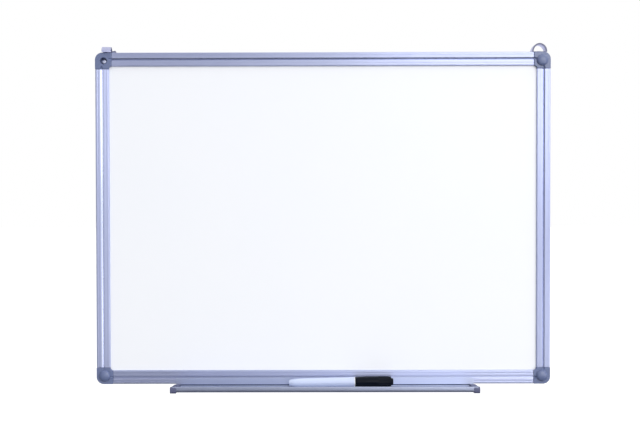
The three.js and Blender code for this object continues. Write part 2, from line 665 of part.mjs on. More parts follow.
function makeTray() {
  const tray = new THREE.Group();
  tray.position.x = TRAY_CENTRE_X;
  const start = -TRAY_METAL_LENGTH / 2;
  const trough = sideViewAlongX(strip(troughLine(), TRAY_WALL), TRAY_METAL_LENGTH, start);
  const runner = sideViewAlongX(strip(runnerLine(), TRAY_WALL), TRAY_METAL_LENGTH, start);
  tray.add(namedMesh('pen_tray', join([trough, runner]), trayMetal));
  tray.add(trayEnd('left', -1));
  tray.add(trayEnd('right', 1));
  return tray;
}

// Marker: drawn on the Z axis from its tail, then laid along +X

// The barrel tapers gently to the tail and rounds off near its end
function barrelRadius(along) {
  const share = along / MARKER_BODY_LENGTH;
  return MARKER_TAIL_RADIUS + (MARKER_NECK_RADIUS - MARKER_TAIL_RADIUS) * share
    - MARKER_TAIL_ROUND * (1 - share) ** MARKER_TAIL_FALLOFF;
}

// Points down the barrel's outside, closer together near the tail
function barrelPoints(from, to, steps) {
  return Array.from({ length: steps + 1 }, (_, i) => {
    const along = from + (to - from) * (i / steps) ** 2;
    return [barrelRadius(along), along];
  });
}

function markerBarrel() {
  const start = MARKER_TAIL_PLUG_LENGTH + PANEL_PLAY;
  return turned([
    [MARKER_BORE_RADIUS, start], ...barrelPoints(start, MARKER_BODY_LENGTH, BARREL_STEPS),
    [MARKER_NECK_RADIUS - MARKER_WALL, MARKER_BODY_LENGTH], [MARKER_BORE_RADIUS, start],
  ]);
}

function markerTailPlug() {
  const stem = MARKER_BORE_RADIUS - JOINT_GAP;
  const stemEnd = 2 * MARKER_TAIL_PLUG_LENGTH;
  return turned([
    [0, 0], [barrelRadius(0) - MARKER_EDGE, 0],
    ...barrelPoints(MARKER_EDGE, MARKER_TAIL_PLUG_LENGTH, ARC_STEPS),
    [stem, MARKER_TAIL_PLUG_LENGTH], [stem, stemEnd], [0, stemEnd],
  ]);
}

const HOLDER_COLLAR = MARKER_BODY_LENGTH + PANEL_PLAY + MARKER_COLLAR_LENGTH;
const HOLDER_TIP = HOLDER_COLLAR + MARKER_SPIGOT_LENGTH;
const HOLDER_ROOT = MARKER_BODY_LENGTH - MARKER_HOLDER_ROOT;
const NIB_ROOT = HOLDER_ROOT + MARKER_WALL;

function nibHolder() {
  const bore = MARKER_NIB_RADIUS + PANEL_PLAY;
  const plug = MARKER_NECK_RADIUS - MARKER_WALL - JOINT_GAP;
  const seat = MARKER_BODY_LENGTH + PANEL_PLAY;
  return turned([
    [bore, HOLDER_ROOT], [MARKER_BORE_RADIUS, HOLDER_ROOT],
    [MARKER_BORE_RADIUS + MARKER_WALL, HOLDER_ROOT + MARKER_HOLDER_TAPER], [plug, MARKER_BODY_LENGTH],
    [plug, seat],
    [MARKER_NECK_RADIUS, seat], [MARKER_NECK_RADIUS, HOLDER_COLLAR], [MARKER_SPIGOT_RADIUS, HOLDER_COLLAR],
    [MARKER_SPIGOT_RADIUS, HOLDER_TIP - MARKER_SPIGOT_TAPER], [MARKER_NIB_RADIUS + MARKER_WALL, HOLDER_TIP],
    [bore, HOLDER_TIP], [bore, HOLDER_ROOT],
  ]);
}

function markerNib() {
  const tip = HOLDER_TIP + MARKER_NIB_REACH;
  return turned([
    [0, NIB_ROOT], [MARKER_NIB_RADIUS, NIB_ROOT],
    ...crown(MARKER_NIB_RADIUS, tip - MARKER_NIB_TAPER, MARKER_NIB_TAPER),
  ], THIN_SIDES);
}

function inkReservoir() {
  const radius = MARKER_BORE_RADIUS - FIT_GAP;
  return rod(radius, 2 * MARKER_TAIL_PLUG_LENGTH + FIT_GAP, HOLDER_ROOT - FIT_GAP, THIN_SIDES);
}

const CAP_START = HOLDER_COLLAR + FIT_GAP;
const CAP_END = CAP_START + MARKER_CAP_LENGTH;
const CAP_CROWN = CAP_START + MARKER_CAP_LENGTH / 2;

function markerCap() {
  const ceiling = CAP_END - 2 * MARKER_CAP_WALL;
  const bore = MARKER_CAP_MOUTH_RADIUS - MARKER_CAP_WALL;
  const knobEnd = CAP_END + MARKER_KNOB_LENGTH;
  const halfSwell = MARKER_CAP_LENGTH / 2 - MARKER_EDGE;
  const swell = arcPoints(0, 0, 1, -Math.PI / 2, Math.PI / 2).map((point) => [
    MARKER_CAP_MOUTH_RADIUS + (MARKER_CAP_RADIUS - MARKER_CAP_MOUTH_RADIUS) * point.x,
    CAP_CROWN + halfSwell * point.y,
  ]);
  return turned([
    [bore, CAP_START], [MARKER_CAP_MOUTH_RADIUS - MARKER_EDGE / 2, CAP_START], ...swell,
    [MARKER_CAP_END_RADIUS, CAP_END], [MARKER_KNOB_RADIUS, CAP_END],
    [MARKER_KNOB_RADIUS, knobEnd - MARKER_EDGE], [MARKER_KNOB_RADIUS - MARKER_EDGE, knobEnd],
    [0, knobEnd], [0, ceiling],
    [bore - MARKER_CAP_WALL, ceiling], [bore, CAP_START],
  ]);
}

// How the marker lies on the tray's floor: on its cap's crown and on the fullest part of the barrel
function markerRest() {
  const slopes = barrelPoints(MARKER_TAIL_PLUG_LENGTH, MARKER_BODY_LENGTH, 2 * BARREL_STEPS).map(
    ([radius, along]) => (MARKER_CAP_RADIUS - radius) / (CAP_CROWN - along));
  const slope = Math.min(...slopes);
  const lean = Math.atan(slope);
  return { lean, lift: (MARKER_CAP_RADIUS - slope * CAP_CROWN) * Math.cos(lean) };
}

function makeMarker() {
  const { lean, lift } = markerRest();
  const marker = new THREE.Group();
  const pieces = [
    ['marker_barrel', markerBarrel(), barrelPlastic],
    ['marker_tail_plug', markerTailPlug(), barrelPlastic],
    ['marker_nib_holder', nibHolder(), holderPlastic],
    ['marker_nib', markerNib(), felt],
    ['marker_ink_reservoir', inkReservoir(), fibre],
    ['marker_cap', markerCap(), blackPlastic],
  ];
  pieces.forEach(([name, geometry, material]) => {
    marker.add(namedMesh(name, geometry.rotateY(Math.PI / 2), material));
  });
  marker.rotation.y = -lean;
  marker.position.set(MARKER_TAIL_X, FLANGE_MID - TRAY_WALL / 2 - MARKER_FROM_FLANGE - MARKER_CAP_RADIUS,
    TRAY_FLOOR_TOP + FIT_GAP + lift);
  return marker;
}

// Whole board

const board = new THREE.Group();
board.add(...makePanel(), ...makeRails(), ...makeCorners());
board.add(makeHanger('left', -1, LEFT_LOOP_HEIGHT, LEFT_LOOP_TURN));
board.add(makeHanger('right', 1, RIGHT_LOOP_HEIGHT, 0));
board.add(makeTray(), makeMarker());
board.position.z = -(BOARD_HEIGHT - SEAT) / 2;

const whiteboard = new THREE.Group();
whiteboard.name = 'whiteboard';
whiteboard.add(board);

export default whiteboard;
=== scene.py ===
"""Looks of a wall whiteboard: frame, panel, moulded corners, hangers, pen tray and marker."""

import logging
import math
from collections.abc import Callable, Mapping, Sequence
from dataclasses import dataclass, replace
from enum import Enum
from itertools import pairwise
from typing import ClassVar

import bpy
from mathutils import Matrix, Vector


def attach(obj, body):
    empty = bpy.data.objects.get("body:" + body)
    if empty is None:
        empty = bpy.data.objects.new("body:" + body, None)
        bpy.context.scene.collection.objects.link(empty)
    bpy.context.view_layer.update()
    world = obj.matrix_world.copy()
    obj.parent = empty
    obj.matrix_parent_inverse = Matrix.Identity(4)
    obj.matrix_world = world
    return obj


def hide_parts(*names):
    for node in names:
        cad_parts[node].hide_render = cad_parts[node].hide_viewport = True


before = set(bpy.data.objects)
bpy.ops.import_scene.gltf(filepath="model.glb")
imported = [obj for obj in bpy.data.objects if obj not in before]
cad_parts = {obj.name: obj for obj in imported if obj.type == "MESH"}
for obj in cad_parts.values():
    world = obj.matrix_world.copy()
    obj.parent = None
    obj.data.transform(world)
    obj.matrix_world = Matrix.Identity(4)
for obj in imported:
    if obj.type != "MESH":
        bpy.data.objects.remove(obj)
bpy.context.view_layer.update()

LOG = logging.getLogger("whiteboard")
# A millimetre in the frame's metres. All sizes below are in millimetres, apart from the studio's.
MM = 0.001
# Sizes that several sub-assemblies share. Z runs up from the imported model's own zero.
CENTRE_Z = -211.85
BOARD_WIDTH = 600.0
BOARD_HEIGHT = 438.0
FRAME_DEPTH = 20.0
FRAME_FACE = 18.0
CORNER_SIZE = 22.0
PANEL_SEAT = 14.3
PANEL_BACK = 6.1
BOTTOM = CENTRE_Z - BOARD_HEIGHT / 2
# How far a cutting tool passes the surface that it cuts.
PAST = 1.0
# How far a face's middle lies off a surface before it counts as off it.
SKIN = 0.1
# How near each other two points count as one.
SAME = 0.002

Point = Sequence[float]
Flat = tuple[float, float]


class Run(Enum):
    """The way an extrusion's lines run, by axis number."""

    ALONG_X = 0
    ALONG_Z = 2


class Corner(Enum):
    """The four corners, each with its side (left -1, right 1) and end (bottom -1, top 1)."""

    BOTTOM_LEFT = ("bottom_left", -1, -1)
    TOP_LEFT = ("top_left", -1, 1)
    TOP_RIGHT = ("top_right", 1, 1)
    BOTTOM_RIGHT = ("bottom_right", 1, -1)

    @property
    def place(self) -> str:
        """The corner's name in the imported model."""
        return self.value[0]

    @property
    def mirror(self) -> Matrix:
        """The matrix that carries the bottom left corner's shape to this corner."""
        _, side, end = self.value
        about = Matrix.Translation((0, 0, CENTRE_Z * MM))
        return about @ Matrix.Diagonal((-side, 1, -end, 1)) @ about.inverted()


def linear(hex_colour: str) -> tuple[float, float, float, float]:
    """Turn an sRGB hex colour into linear values.

    Args:
        hex_colour: Six hex digits, such as "9ba3c4".

    Returns:
        Linear red, green, blue and an alpha of 1.
    """
    channels = [int(hex_colour[i:i + 2], 16) / 255 for i in (0, 2, 4)]
    red, green, blue = (c / 12.92 if c <= 0.04045 else ((c + 0.055) / 1.055) ** 2.4 for c in channels)
    return red, green, blue, 1.0


def per_metre(size_mm: float) -> float:
    """Return the texture scale at which one feature is as wide as a size in millimetres."""
    return 1.0 / (size_mm * MM)


def add_node(
    tree: bpy.types.NodeTree,
    kind: str,
    settings: Mapping[str, object] | None = None,
    values: Mapping[str | int, object] | None = None,
    links: Mapping[str | int, bpy.types.NodeSocket] | None = None,
) -> bpy.types.Node:
    """Add a node with its settings, input values and links.

    Args:
        tree: The node tree that takes the node.
        kind: The node's type name.
        settings: Properties of the node.
        values: Values of its inputs, by socket name or number.
        links: Sockets to link to its inputs, by socket name or number.

    Returns:
        The new node.
    """
    node = tree.nodes.new(kind)
    for key, value in (settings or {}).items():
        setattr(node, key, value)
    for key, value in (values or {}).items():
        node.inputs[key].default_value = value
    for key, source in (links or {}).items():
        tree.links.new(source, node.inputs[key])
    return node


class Bench:
    """The modelling bench: Blender's own operators, fed with sizes in millimetres."""

    @staticmethod
    def clear() -> None:
        """Leave edit mode and deselect everything, because an operator acts on all that is selected."""
        active = bpy.context.view_layer.objects.active
        if active is not None and active.mode != "OBJECT":
            bpy.ops.object.mode_set(mode="OBJECT")
        bpy.ops.object.select_all(action="DESELECT")

    @staticmethod
    def take(piece: bpy.types.Object, *others: bpy.types.Object) -> None:
        """Select a piece as the active one, with any others.

        Args:
            piece: The piece that operators act on.
            others: More pieces to select with it.
        """
        Bench.clear()
        for other in (*others, piece):
            other.select_set(True)
        bpy.context.view_layer.objects.active = piece

    @staticmethod
    def edit(piece: bpy.types.Object, chosen: Callable[[Vector], bool] | None = None) -> None:
        """Open a piece in edit mode with all of it selected, or the part that a test chooses.

        Args:
            piece: The piece to edit.
            chosen: A test of a vertex's place in millimetres.
        """
        Bench.take(piece)
        bpy.ops.object.mode_set(mode="EDIT")
        bpy.ops.mesh.select_mode(type="VERT")
        bpy.ops.mesh.select_all(action="SELECT" if chosen is None else "DESELECT")
        if chosen is not None:
            bpy.ops.object.mode_set(mode="OBJECT")
            for vertex in piece.data.vertices:
                vertex.select = chosen(vertex.co / MM)
            bpy.ops.object.mode_set(mode="EDIT")
            bpy.ops.mesh.select_mode(type="VERT")

    @staticmethod
    def face_outwards(piece: bpy.types.Object) -> None:
        """Merge a closed piece's doubles and turn its faces outwards.

        Args:
            piece: The piece.
        """
        Bench.edit(piece)
        bpy.ops.mesh.remove_doubles(threshold=SAME * MM)
        bpy.ops.mesh.normals_make_consistent(inside=False)
        bpy.ops.object.mode_set(mode="OBJECT")

    @staticmethod
    def line(name: str, points: Sequence[Point], closed: bool = False) -> bpy.types.Object:
        """Draw a line by extruding one point from place to place, and leave it open in edit mode.

        Args:
            name: The new piece's name.
            points: The places to draw through, in millimetres.
            closed: Whether the line returns to its first point.

        Returns:
            The piece, with all of the line selected.
        """
        Bench.clear()
        bpy.ops.mesh.primitive_plane_add(size=MM, location=(0, 0, 0))
        piece = bpy.context.object
        piece.name = piece.data.name = name
        bpy.ops.object.mode_set(mode="EDIT")
        bpy.ops.mesh.select_all(action="SELECT")
        bpy.ops.mesh.merge(type="CENTER")
        places = [Vector(point) * MM for point in points]
        if closed:
            places.append(places[0])
        bpy.ops.transform.translate(value=places[0])
        for before, after in pairwise(places):
            bpy.ops.mesh.extrude_region_move(TRANSFORM_OT_translate={"value": after - before})
        bpy.ops.mesh.select_all(action="SELECT")
        if closed:
            bpy.ops.mesh.remove_doubles(threshold=SAME * MM)
        return piece

    @staticmethod
    def prism(
        name: str, outline: Sequence[Point], run: Point, hole: Sequence[Point] | None = None
    ) -> bpy.types.Object:
        """Fill a closed outline and extrude it into a solid.

        Args:
            name: The new piece's name.
            outline: The outline's points.
            run: The way and length of the extrusion.
            hole: The outline of a chamber that runs through the solid.

        Returns:
            The solid, in object mode.
        """
        chamber = Bench.line(name + "_chamber", hole, closed=True) if hole else None
        piece = Bench.line(name, outline, closed=True)
        if chamber is None:
            bpy.ops.mesh.edge_face_add()
        else:
            Bench.take(piece, chamber)
            bpy.ops.object.join()
            Bench.edit(piece)
            bpy.ops.mesh.fill(use_beauty=True)
        bpy.ops.mesh.extrude_region_move(TRANSFORM_OT_translate={"value": Vector(run) * MM})
        Bench.face_outwards(piece)
        return piece

    @staticmethod
    def band(name: str, points: Sequence[Point], run: Point, thickness: float) -> bpy.types.Object:
        """Extrude a drawn line sideways and give the sheet its thickness.

        Args:
            name: The new piece's name.
            points: The line along the middle of the sheet.
            run: The way and width of the extrusion.
            thickness: The sheet's thickness.

        Returns:
            The solid, in object mode.
        """
        piece = Bench.line(name, points)
        bpy.ops.mesh.extrude_region_move(TRANSFORM_OT_translate={"value": Vector(run) * MM})
        Bench.face_outwards(piece)
        Bench.modify(piece, "SOLIDIFY", thickness=thickness * MM, offset=0, use_even_offset=True)
        Bench.face_outwards(piece)
        return piece

    @staticmethod
    def turned(
        name: str, profile: Sequence[Flat], foot: Point, axis: Point, sides: int = 64
    ) -> bpy.types.Object:
        """Spin a profile about an axis.

        Args:
            name: The new piece's name.
            profile: Points of (radius, height above the foot).
            foot: Where the axis starts.
            axis: The way that it points.
            sides: The number of steps round it.

        Returns:
            The solid, in object mode.
        """
        up = Vector(axis).normalized()
        out = up.orthogonal().normalized()
        base = Vector(foot)
        piece = Bench.line(name, [base + up * height + out * radius for radius, height in profile])
        bpy.ops.mesh.spin(steps=sides, angle=math.tau, center=base * MM, axis=up)
        Bench.face_outwards(piece)
        return piece

    @staticmethod
    def modify(piece: bpy.types.Object, kind: str, **settings: object) -> None:
        """Add a modifier to a piece and apply it.

        Args:
            piece: The piece.
            kind: The modifier's type.
            settings: The modifier's properties.
        """
        Bench.take(piece)
        modifier = piece.modifiers.new(kind, kind)
        for key, value in settings.items():
            setattr(modifier, key, value)
        bpy.ops.object.modifier_apply(modifier=modifier.name)

    @staticmethod
    def round_edges(piece: bpy.types.Object, radius: float, segments: int = 3, sharp: float = 40) -> None:
        """Round a piece's sharp edges.

        Args:
            piece: The piece.
            radius: The rounding, in millimetres.
            segments: The steps across it.
            sharp: The least angle, in degrees, that counts as an edge.
        """
        Bench.modify(
            piece, "BEVEL", width=radius * MM, segments=segments, limit_method="ANGLE",
            angle_limit=math.radians(sharp), use_clamp_overlap=True,
        )

    @staticmethod
    def combine(piece: bpy.types.Object, tool: bpy.types.Object, how: str = "DIFFERENCE") -> None:
        """Cut a tool's shape out of a piece, or weld it on, and remove the tool.

        Args:
            piece: The piece that is changed.
            tool: The other solid.
            how: The boolean operation.
        """
        Bench.modify(piece, "BOOLEAN", operation=how, object=tool, solver="EXACT")
        bpy.data.objects.remove(tool)

    @staticmethod
    def block(low: Point, high: Point) -> bpy.types.Object:
        """Make a plain block between two corners.

        Args:
            low: Its lowest corner, in millimetres.
            high: Its highest corner.

        Returns:
            The block.
        """
        Bench.clear()
        middle = (Vector(low) + Vector(high)) / 2
        size = Vector(high) - Vector(low)
        bpy.ops.mesh.primitive_cube_add(size=MM, location=middle * MM, scale=size)
        bpy.ops.object.transform_apply(location=True, rotation=True, scale=True)
        return bpy.context.object

    @staticmethod
    def copy(piece: bpy.types.Object, name: str, moved: Matrix) -> bpy.types.Object:
        """Copy a piece with its own mesh, carried by a matrix.

        Args:
            piece: The piece to copy.
            name: The copy's name.
            moved: The matrix, in metres.

        Returns:
            The copy.
        """
        Bench.take(piece)
        bpy.ops.object.duplicate(linked=False)
        twin = bpy.context.object
        twin.name = twin.data.name = name
        twin.data.transform(moved)
        Bench.face_outwards(twin)
        return twin


def arc(x: float, y: float, radius: float, start: float, end: float, steps: int = 10) -> list[Flat]:
    """Draw an arc as points.

    Args:
        x: The centre's first coordinate.
        y: Its second one.
        radius: The radius.
        start: The angle that it starts from, in degrees.
        end: The angle that it ends at.
        steps: The number of steps between them.

    Returns:
        The points, both ends among them.
    """
    angles = (math.radians(start + (end - start) * i / steps) for i in range(steps + 1))
    return [(x + radius * math.cos(angle), y + radius * math.sin(angle)) for angle in angles]


def crown(start: Flat, end: Flat, rise: float, steps: int = 6) -> list[Flat]:
    """Draw a shallow crown as points.

    Args:
        start: The first point.
        end: The last point.
        rise: How high the crown is in its middle.
        steps: The number of steps between them.

    Returns:
        The points, both ends among them.
    """
    (x0, y0), (x1, y1) = start, end
    parts = (i / steps for i in range(steps + 1))
    return [(x0 + (x1 - x0) * t, y0 + (y1 - y0) * t + 4 * rise * t * (1 - t)) for t in parts]


@dataclass(frozen=True)
class Finish:
    """A surface with its colour, gloss and one small texture.

    Attributes:
        name: What the real one is and how it was made.
        colour: Its main colour, as sRGB hex.
        shade: The colour of its darker patches.
        roughness: Its mean roughness.
        metallic: 1 for bare metal.
        ior: The index of refraction, where 1.5 suits enamel and these plastics, and metal keeps it.
        patch_mm: The width of its patches of colour.
        grain_mm: The width of its texture's grains.
        grain_depth_mm: How deep the texture is.
        specular: How strong its sheen is, where 0.5 is usual.
        unevenness: How far the texture changes its roughness.
        bump_strength: How strongly the texture tilts the surface.
        noise_range: Where nearly all values of a noise texture lie.
    """

    name: str
    colour: str
    shade: str
    roughness: float
    metallic: float = 0.0
    ior: float = 1.5
    patch_mm: float = 20.0
    grain_mm: float = 0.6
    grain_depth_mm: float = 0.02
    specular: float = 0.5
    unevenness: float = 0.04
    bump_strength: ClassVar[float] = 0.5
    noise_range: ClassVar[Flat] = (0.3, 0.7)

    def stretch(self) -> tuple[float, float, float]:
        """Return how the texture is scaled along each axis; even, unless a finish has a direction."""
        return 1.0, 1.0, 1.0

    def detail(self, tree: bpy.types.NodeTree, place: bpy.types.NodeSocket) -> bpy.types.NodeSocket:
        """Add the fine texture; moulded and plated surfaces have a soft random grain.

        Args:
            tree: The node tree.
            place: The socket that gives the place.

        Returns:
            The socket that gives the texture's height.
        """
        return add_node(
            tree, "ShaderNodeTexNoise", values={"Scale": per_metre(self.grain_mm), "Detail": 2.0},
            links={"Vector": place},
        ).outputs["Fac"]

    def extras(self, tree: bpy.types.NodeTree, shader: bpy.types.Node) -> None:
        """Set what only some finishes have."""

    def material(self) -> bpy.types.Material:
        """Build the finish's nodes, once.

        Returns:
            The finish's material.
        """
        made = bpy.data.materials.get(self.name)
        if made is not None:
            return made
        made = bpy.data.materials.new(self.name)
        made.use_nodes = True
        tree = made.node_tree
        shader = tree.nodes["Principled BSDF"]
        place = add_node(
            tree, "ShaderNodeMapping", values={"Scale": self.stretch()},
            links={"Vector": add_node(tree, "ShaderNodeTexCoord").outputs["Object"]},
        ).outputs["Vector"]
        patches = add_node(
            tree, "ShaderNodeTexNoise", values={"Scale": per_metre(self.patch_mm), "Detail": 3.0},
            links={"Vector": place},
        ).outputs["Fac"]
        grain = self.detail(tree, place)
        # A colour mix takes its factor in socket 0 and its colours in 6 and 7, and gives its result in 2.
        tint = add_node(
            tree, "ShaderNodeMix", settings={"data_type": "RGBA"},
            values={6: linear(self.colour), 7: linear(self.shade)}, links={0: patches},
        ).outputs[2]
        low, high = self.noise_range
        gloss = add_node(
            tree, "ShaderNodeMapRange",
            values={"From Min": low, "From Max": high, "To Min": self.roughness - self.unevenness,
                    "To Max": self.roughness + self.unevenness},
            links={"Value": grain},
        ).outputs["Result"]
        bump = add_node(
            tree, "ShaderNodeBump",
            values={"Strength": self.bump_strength, "Distance": self.grain_depth_mm * MM},
            links={"Height": grain},
        ).outputs["Normal"]
        shader.inputs["Metallic"].default_value = self.metallic
        shader.inputs["IOR"].default_value = self.ior
        shader.inputs["Specular IOR Level"].default_value = self.specular
        for socket, source in (("Base Color", tint), ("Roughness", gloss), ("Normal", bump)):
            tree.links.new(source, shader.inputs[socket])
        self.extras(tree, shader)
        return made


@dataclass(frozen=True)
class AnodisedExtrusion(Finish):
    """Satin anodised aluminium, drawn through a die: lines along its length spread light across them.

    Real die lines are about 0.05 mm apart, too fine to show, so they are drawn 0.5 mm apart.
    """

    run: Run = Run.ALONG_X
    metallic: float = 1.0
    grain_mm: float = 0.5
    anisotropy: float = 0.9
    line_stretch: ClassVar[float] = 150

    def stretch(self) -> tuple[float, float, float]:
        """Draw the die lines out along the extrusion, far longer than they are wide.

        Returns:
            The scale of the texture along each axis.
        """
        scale = [1.0, 1.0, 1.0]
        scale[self.run.value] = 1 / self.line_stretch
        return scale[0], scale[1], scale[2]

    def extras(self, tree: bpy.types.NodeTree, shader: bpy.types.Node) -> None:
        """Smear reflections across the die lines.

        Args:
            tree: The node tree.
            shader: The finish's shader.
        """
        shader.inputs["Anisotropic"].default_value = self.anisotropy
        across = (0.0, 0.0, 1.0) if self.run is Run.ALONG_X else (1.0, 0.0, 0.0)
        way = add_node(tree, "ShaderNodeCombineXYZ", values=dict(zip("XYZ", across)))
        tree.links.new(way.outputs["Vector"], shader.inputs["Tangent"])


@dataclass(frozen=True)
class GalvanisedSteel(Finish):
    """Hot-dip galvanised sheet: flat crystals of zinc, each with its own sheen."""

    metallic: float = 0.9

    def detail(self, tree: bpy.types.NodeTree, place: bpy.types.NodeSocket) -> bpy.types.NodeSocket:
        """Return the crystals' pattern."""
        return add_node(
            tree, "ShaderNodeTexVoronoi", values={"Scale": per_metre(self.grain_mm)}, links={"Vector": place}
        ).outputs["Distance"]


@dataclass(frozen=True)
class GlossEnamel(Finish):
    """Enamel fired on sheet steel: a hard gloss with a slight waviness."""

    coat: float = 0.15
    coat_roughness: float = 0.3

    def extras(self, tree: bpy.types.NodeTree, shader: bpy.types.Node) -> None:
        """Lay the fired gloss over the colour."""
        shader.inputs["Coat Weight"].default_value = self.coat
        shader.inputs["Coat Roughness"].default_value = self.coat_roughness


@dataclass(frozen=True)
class PressedFibre(Finish):
    """Felt, fibre or fibreboard: no gloss, and a coarse tangle of fibres."""

    specular: float = 0.15


class Shop:
    """The finishes of this board.

    The grain of moulded and plated surfaces is really 0.02 to 0.1 mm wide. It is drawn 0.3 to 0.8 mm wide, so
    that it shows.
    """

    # Etched and anodised rails: a cool satin that goes from grey-blue to nearly white along them.
    RAIL_ACROSS = AnodisedExtrusion("satin_anodised_rail_x", "c2c9e8", "b9c0e0", 0.42, grain_depth_mm=0.012)
    RAIL_UPRIGHT = replace(RAIL_ACROSS, name="satin_anodised_rail_z", run=Run.ALONG_Z)
    # The grooves of three rails, smoother than their faces: sharper reflections, which draw each one as a
    # single dark or bright line. The level rail's groove is also coloured darker than the rail: painted
    # shade.
    GROOVE_ACROSS = AnodisedExtrusion("smooth_groove_x_painted_shade", "b9c0dd", "b0b7d4", 0.24, grain_depth_mm=0.006)
    GROOVE_UPRIGHT = AnodisedExtrusion("bright_groove_z", "c2c9e8", "b9c0e0", 0.24, grain_depth_mm=0.006,
                                       run=Run.ALONG_Z)
    # The tray: the rails' satin. Its lip is a darker copy of it, painted shade, and the fold at the flange's
    # foot is painted dark as its shadow.
    TRAY = AnodisedExtrusion("satin_anodised_tray", "c9d1ec", "bfc8e3", 0.4, grain_depth_mm=0.01,
                             metallic=0.9)
    # Painted shade: the lip is a darker copy of the tray's satin, for the shade on its rolled nose.
    TRAY_LIP = replace(TRAY, name="anodised_lip_painted_shade", colour="aeb5cc", shade="a4abc3", roughness=0.42)
    # Painted shadow: a dark colour on the fold's faces, where the flange's foot shades them.
    TRAY_FOLD_SHADE = Finish("painted_shade_fold", "4e5a7c", "46516f", 0.7, grain_mm=0.4, specular=0.1)
    # Fired enamel: an even white, whose faint waves over 30 mm only bend its reflections.
    ENAMEL = GlossEnamel("fired_white_enamel", "fbfcff", "f9fbff", 0.4, grain_mm=30.0, grain_depth_mm=0.004,
                         patch_mm=120, specular=0.2, unevenness=0.004)
    # Fibreboard: brown, matt and mottled with pressed fibres.
    FIBREBOARD = PressedFibre("pressed_fibreboard", "a98a62", "8f7350", 0.9, grain_mm=0.8, grain_depth_mm=0.2)
    # Galvanised backing: dull grey spangles, 7 mm across as on real sheet.
    BACKING = GalvanisedSteel("galvanised_sheet", "aab0b9", "9aa0aa", 0.45, grain_mm=7.0)
    # Moulded ABS corners and plugs: a slate blue satin with soft broad highlights on their rounds.
    CORNER = Finish("satin_abs_moulding", "69759a", "616d94", 0.36, grain_mm=0.5, grain_depth_mm=0.03,
                    specular=0.75)
    # Corner keys of nylon with glass in it: plain dark grey, rough with fibre ends.
    KEY = Finish("glass_filled_nylon", "4a4d55", "44464e", 0.6)
    # Bright zinc on screws and rivets: small sharp glints with a bluish cast.
    ZINC = Finish("bright_zinc_plate", "c9cde2", "b9bfd8", 0.28, metallic=1.0, grain_mm=0.5)
    # Nickel-plated strip for the hangers: cool silver on its faces, darker and rougher on its edge faces.
    STRAP = Finish("nickel_plated_strip", "c6c9e6", "b8bbda", 0.38, metallic=1.0, grain_mm=0.4)
    STRAP_EDGE = Finish("dark_strip_edge", "77788e", "66677c", 0.55, metallic=0.5, grain_mm=0.3,
                        grain_depth_mm=0.05)
    # Soft PVC pads: light and matt.
    PAD = Finish("soft_pvc_pad", "98a2be", "8e98b4", 0.6, grain_mm=0.5)
    # Polypropylene tray ends: dark satin with a fine moulded grain.
    TRAY_END = Finish("satin_polypropylene_end", "5c5f7e", "525675", 0.45, grain_mm=0.5, grain_depth_mm=0.03)
    # Glossy polypropylene barrel: pale blue-white, with one long highlight.
    BARREL = Finish("gloss_polypropylene_barrel", "ccd6ef", "c6d0ea", 0.32, grain_mm=0.8)
    # Uncoloured polypropylene holder: milky white.
    HOLDER = Finish("natural_polypropylene", "eef0f6", "e6e8ee", 0.45, grain_mm=0.8)
    # Felt nib and fibre rod, both soaked with ink: nearly black, without gloss.
    FELT = PressedFibre("inked_polyester_felt", "17181e", "101116", 0.95, grain_mm=0.35, grain_depth_mm=0.15)
    RESERVOIR = PressedFibre("inked_fibre_rod", "3b3d46", "303239", 0.95, grain_mm=0.4, grain_depth_mm=0.1)
    # Black polystyrene cap: deep black, with weak highlights along its flutes.
    CAP = Finish("semi_gloss_black_polystyrene", "0b101b", "080c15", 0.3, grain_mm=0.7, specular=0.12)


def complete(
    piece: bpy.types.Object, finish: Finish, body: str, slot: str, *nodes: str, smooth: float = 32
) -> bpy.types.Object:
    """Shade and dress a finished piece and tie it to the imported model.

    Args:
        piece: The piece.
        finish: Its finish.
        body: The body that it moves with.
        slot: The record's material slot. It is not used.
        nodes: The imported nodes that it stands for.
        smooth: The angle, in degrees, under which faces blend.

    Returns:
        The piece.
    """
    Bench.take(piece)
    bpy.ops.object.shade_smooth_by_angle(angle=math.radians(smooth))
    Bench.modify(piece, "WEIGHTED_NORMAL", keep_sharp=True)
    piece.data.materials.clear()
    piece.data.materials.append(finish.material())
    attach(piece, body)
    if nodes:
        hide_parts(*nodes)
    LOG.info("%s: %d faces on %s", piece.name, len(piece.data.polygons), body)
    return piece


@dataclass
class Panel:
    """The writing panel: its packed sheets are right, and get their finishes."""

    enamel: Finish = Shop.ENAMEL
    core: Finish = Shop.FIBREBOARD
    backing: Finish = Shop.BACKING

    def dress(self) -> None:
        """Give the three sheets and the hidden pieces their finishes."""
        hidden_keys = {f"corner_key_{corner.place}": Shop.KEY for corner in Corner}
        finishes = {
            "writing_sheet": self.enamel, "core_board": self.core, "backing_sheet": self.backing,
            "marker_ink_reservoir": Shop.RESERVOIR, **hidden_keys,
        }
        for node, finish in finishes.items():
            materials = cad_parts[node].data.materials
            for i in range(len(materials)):
                materials[i] = finish.material()


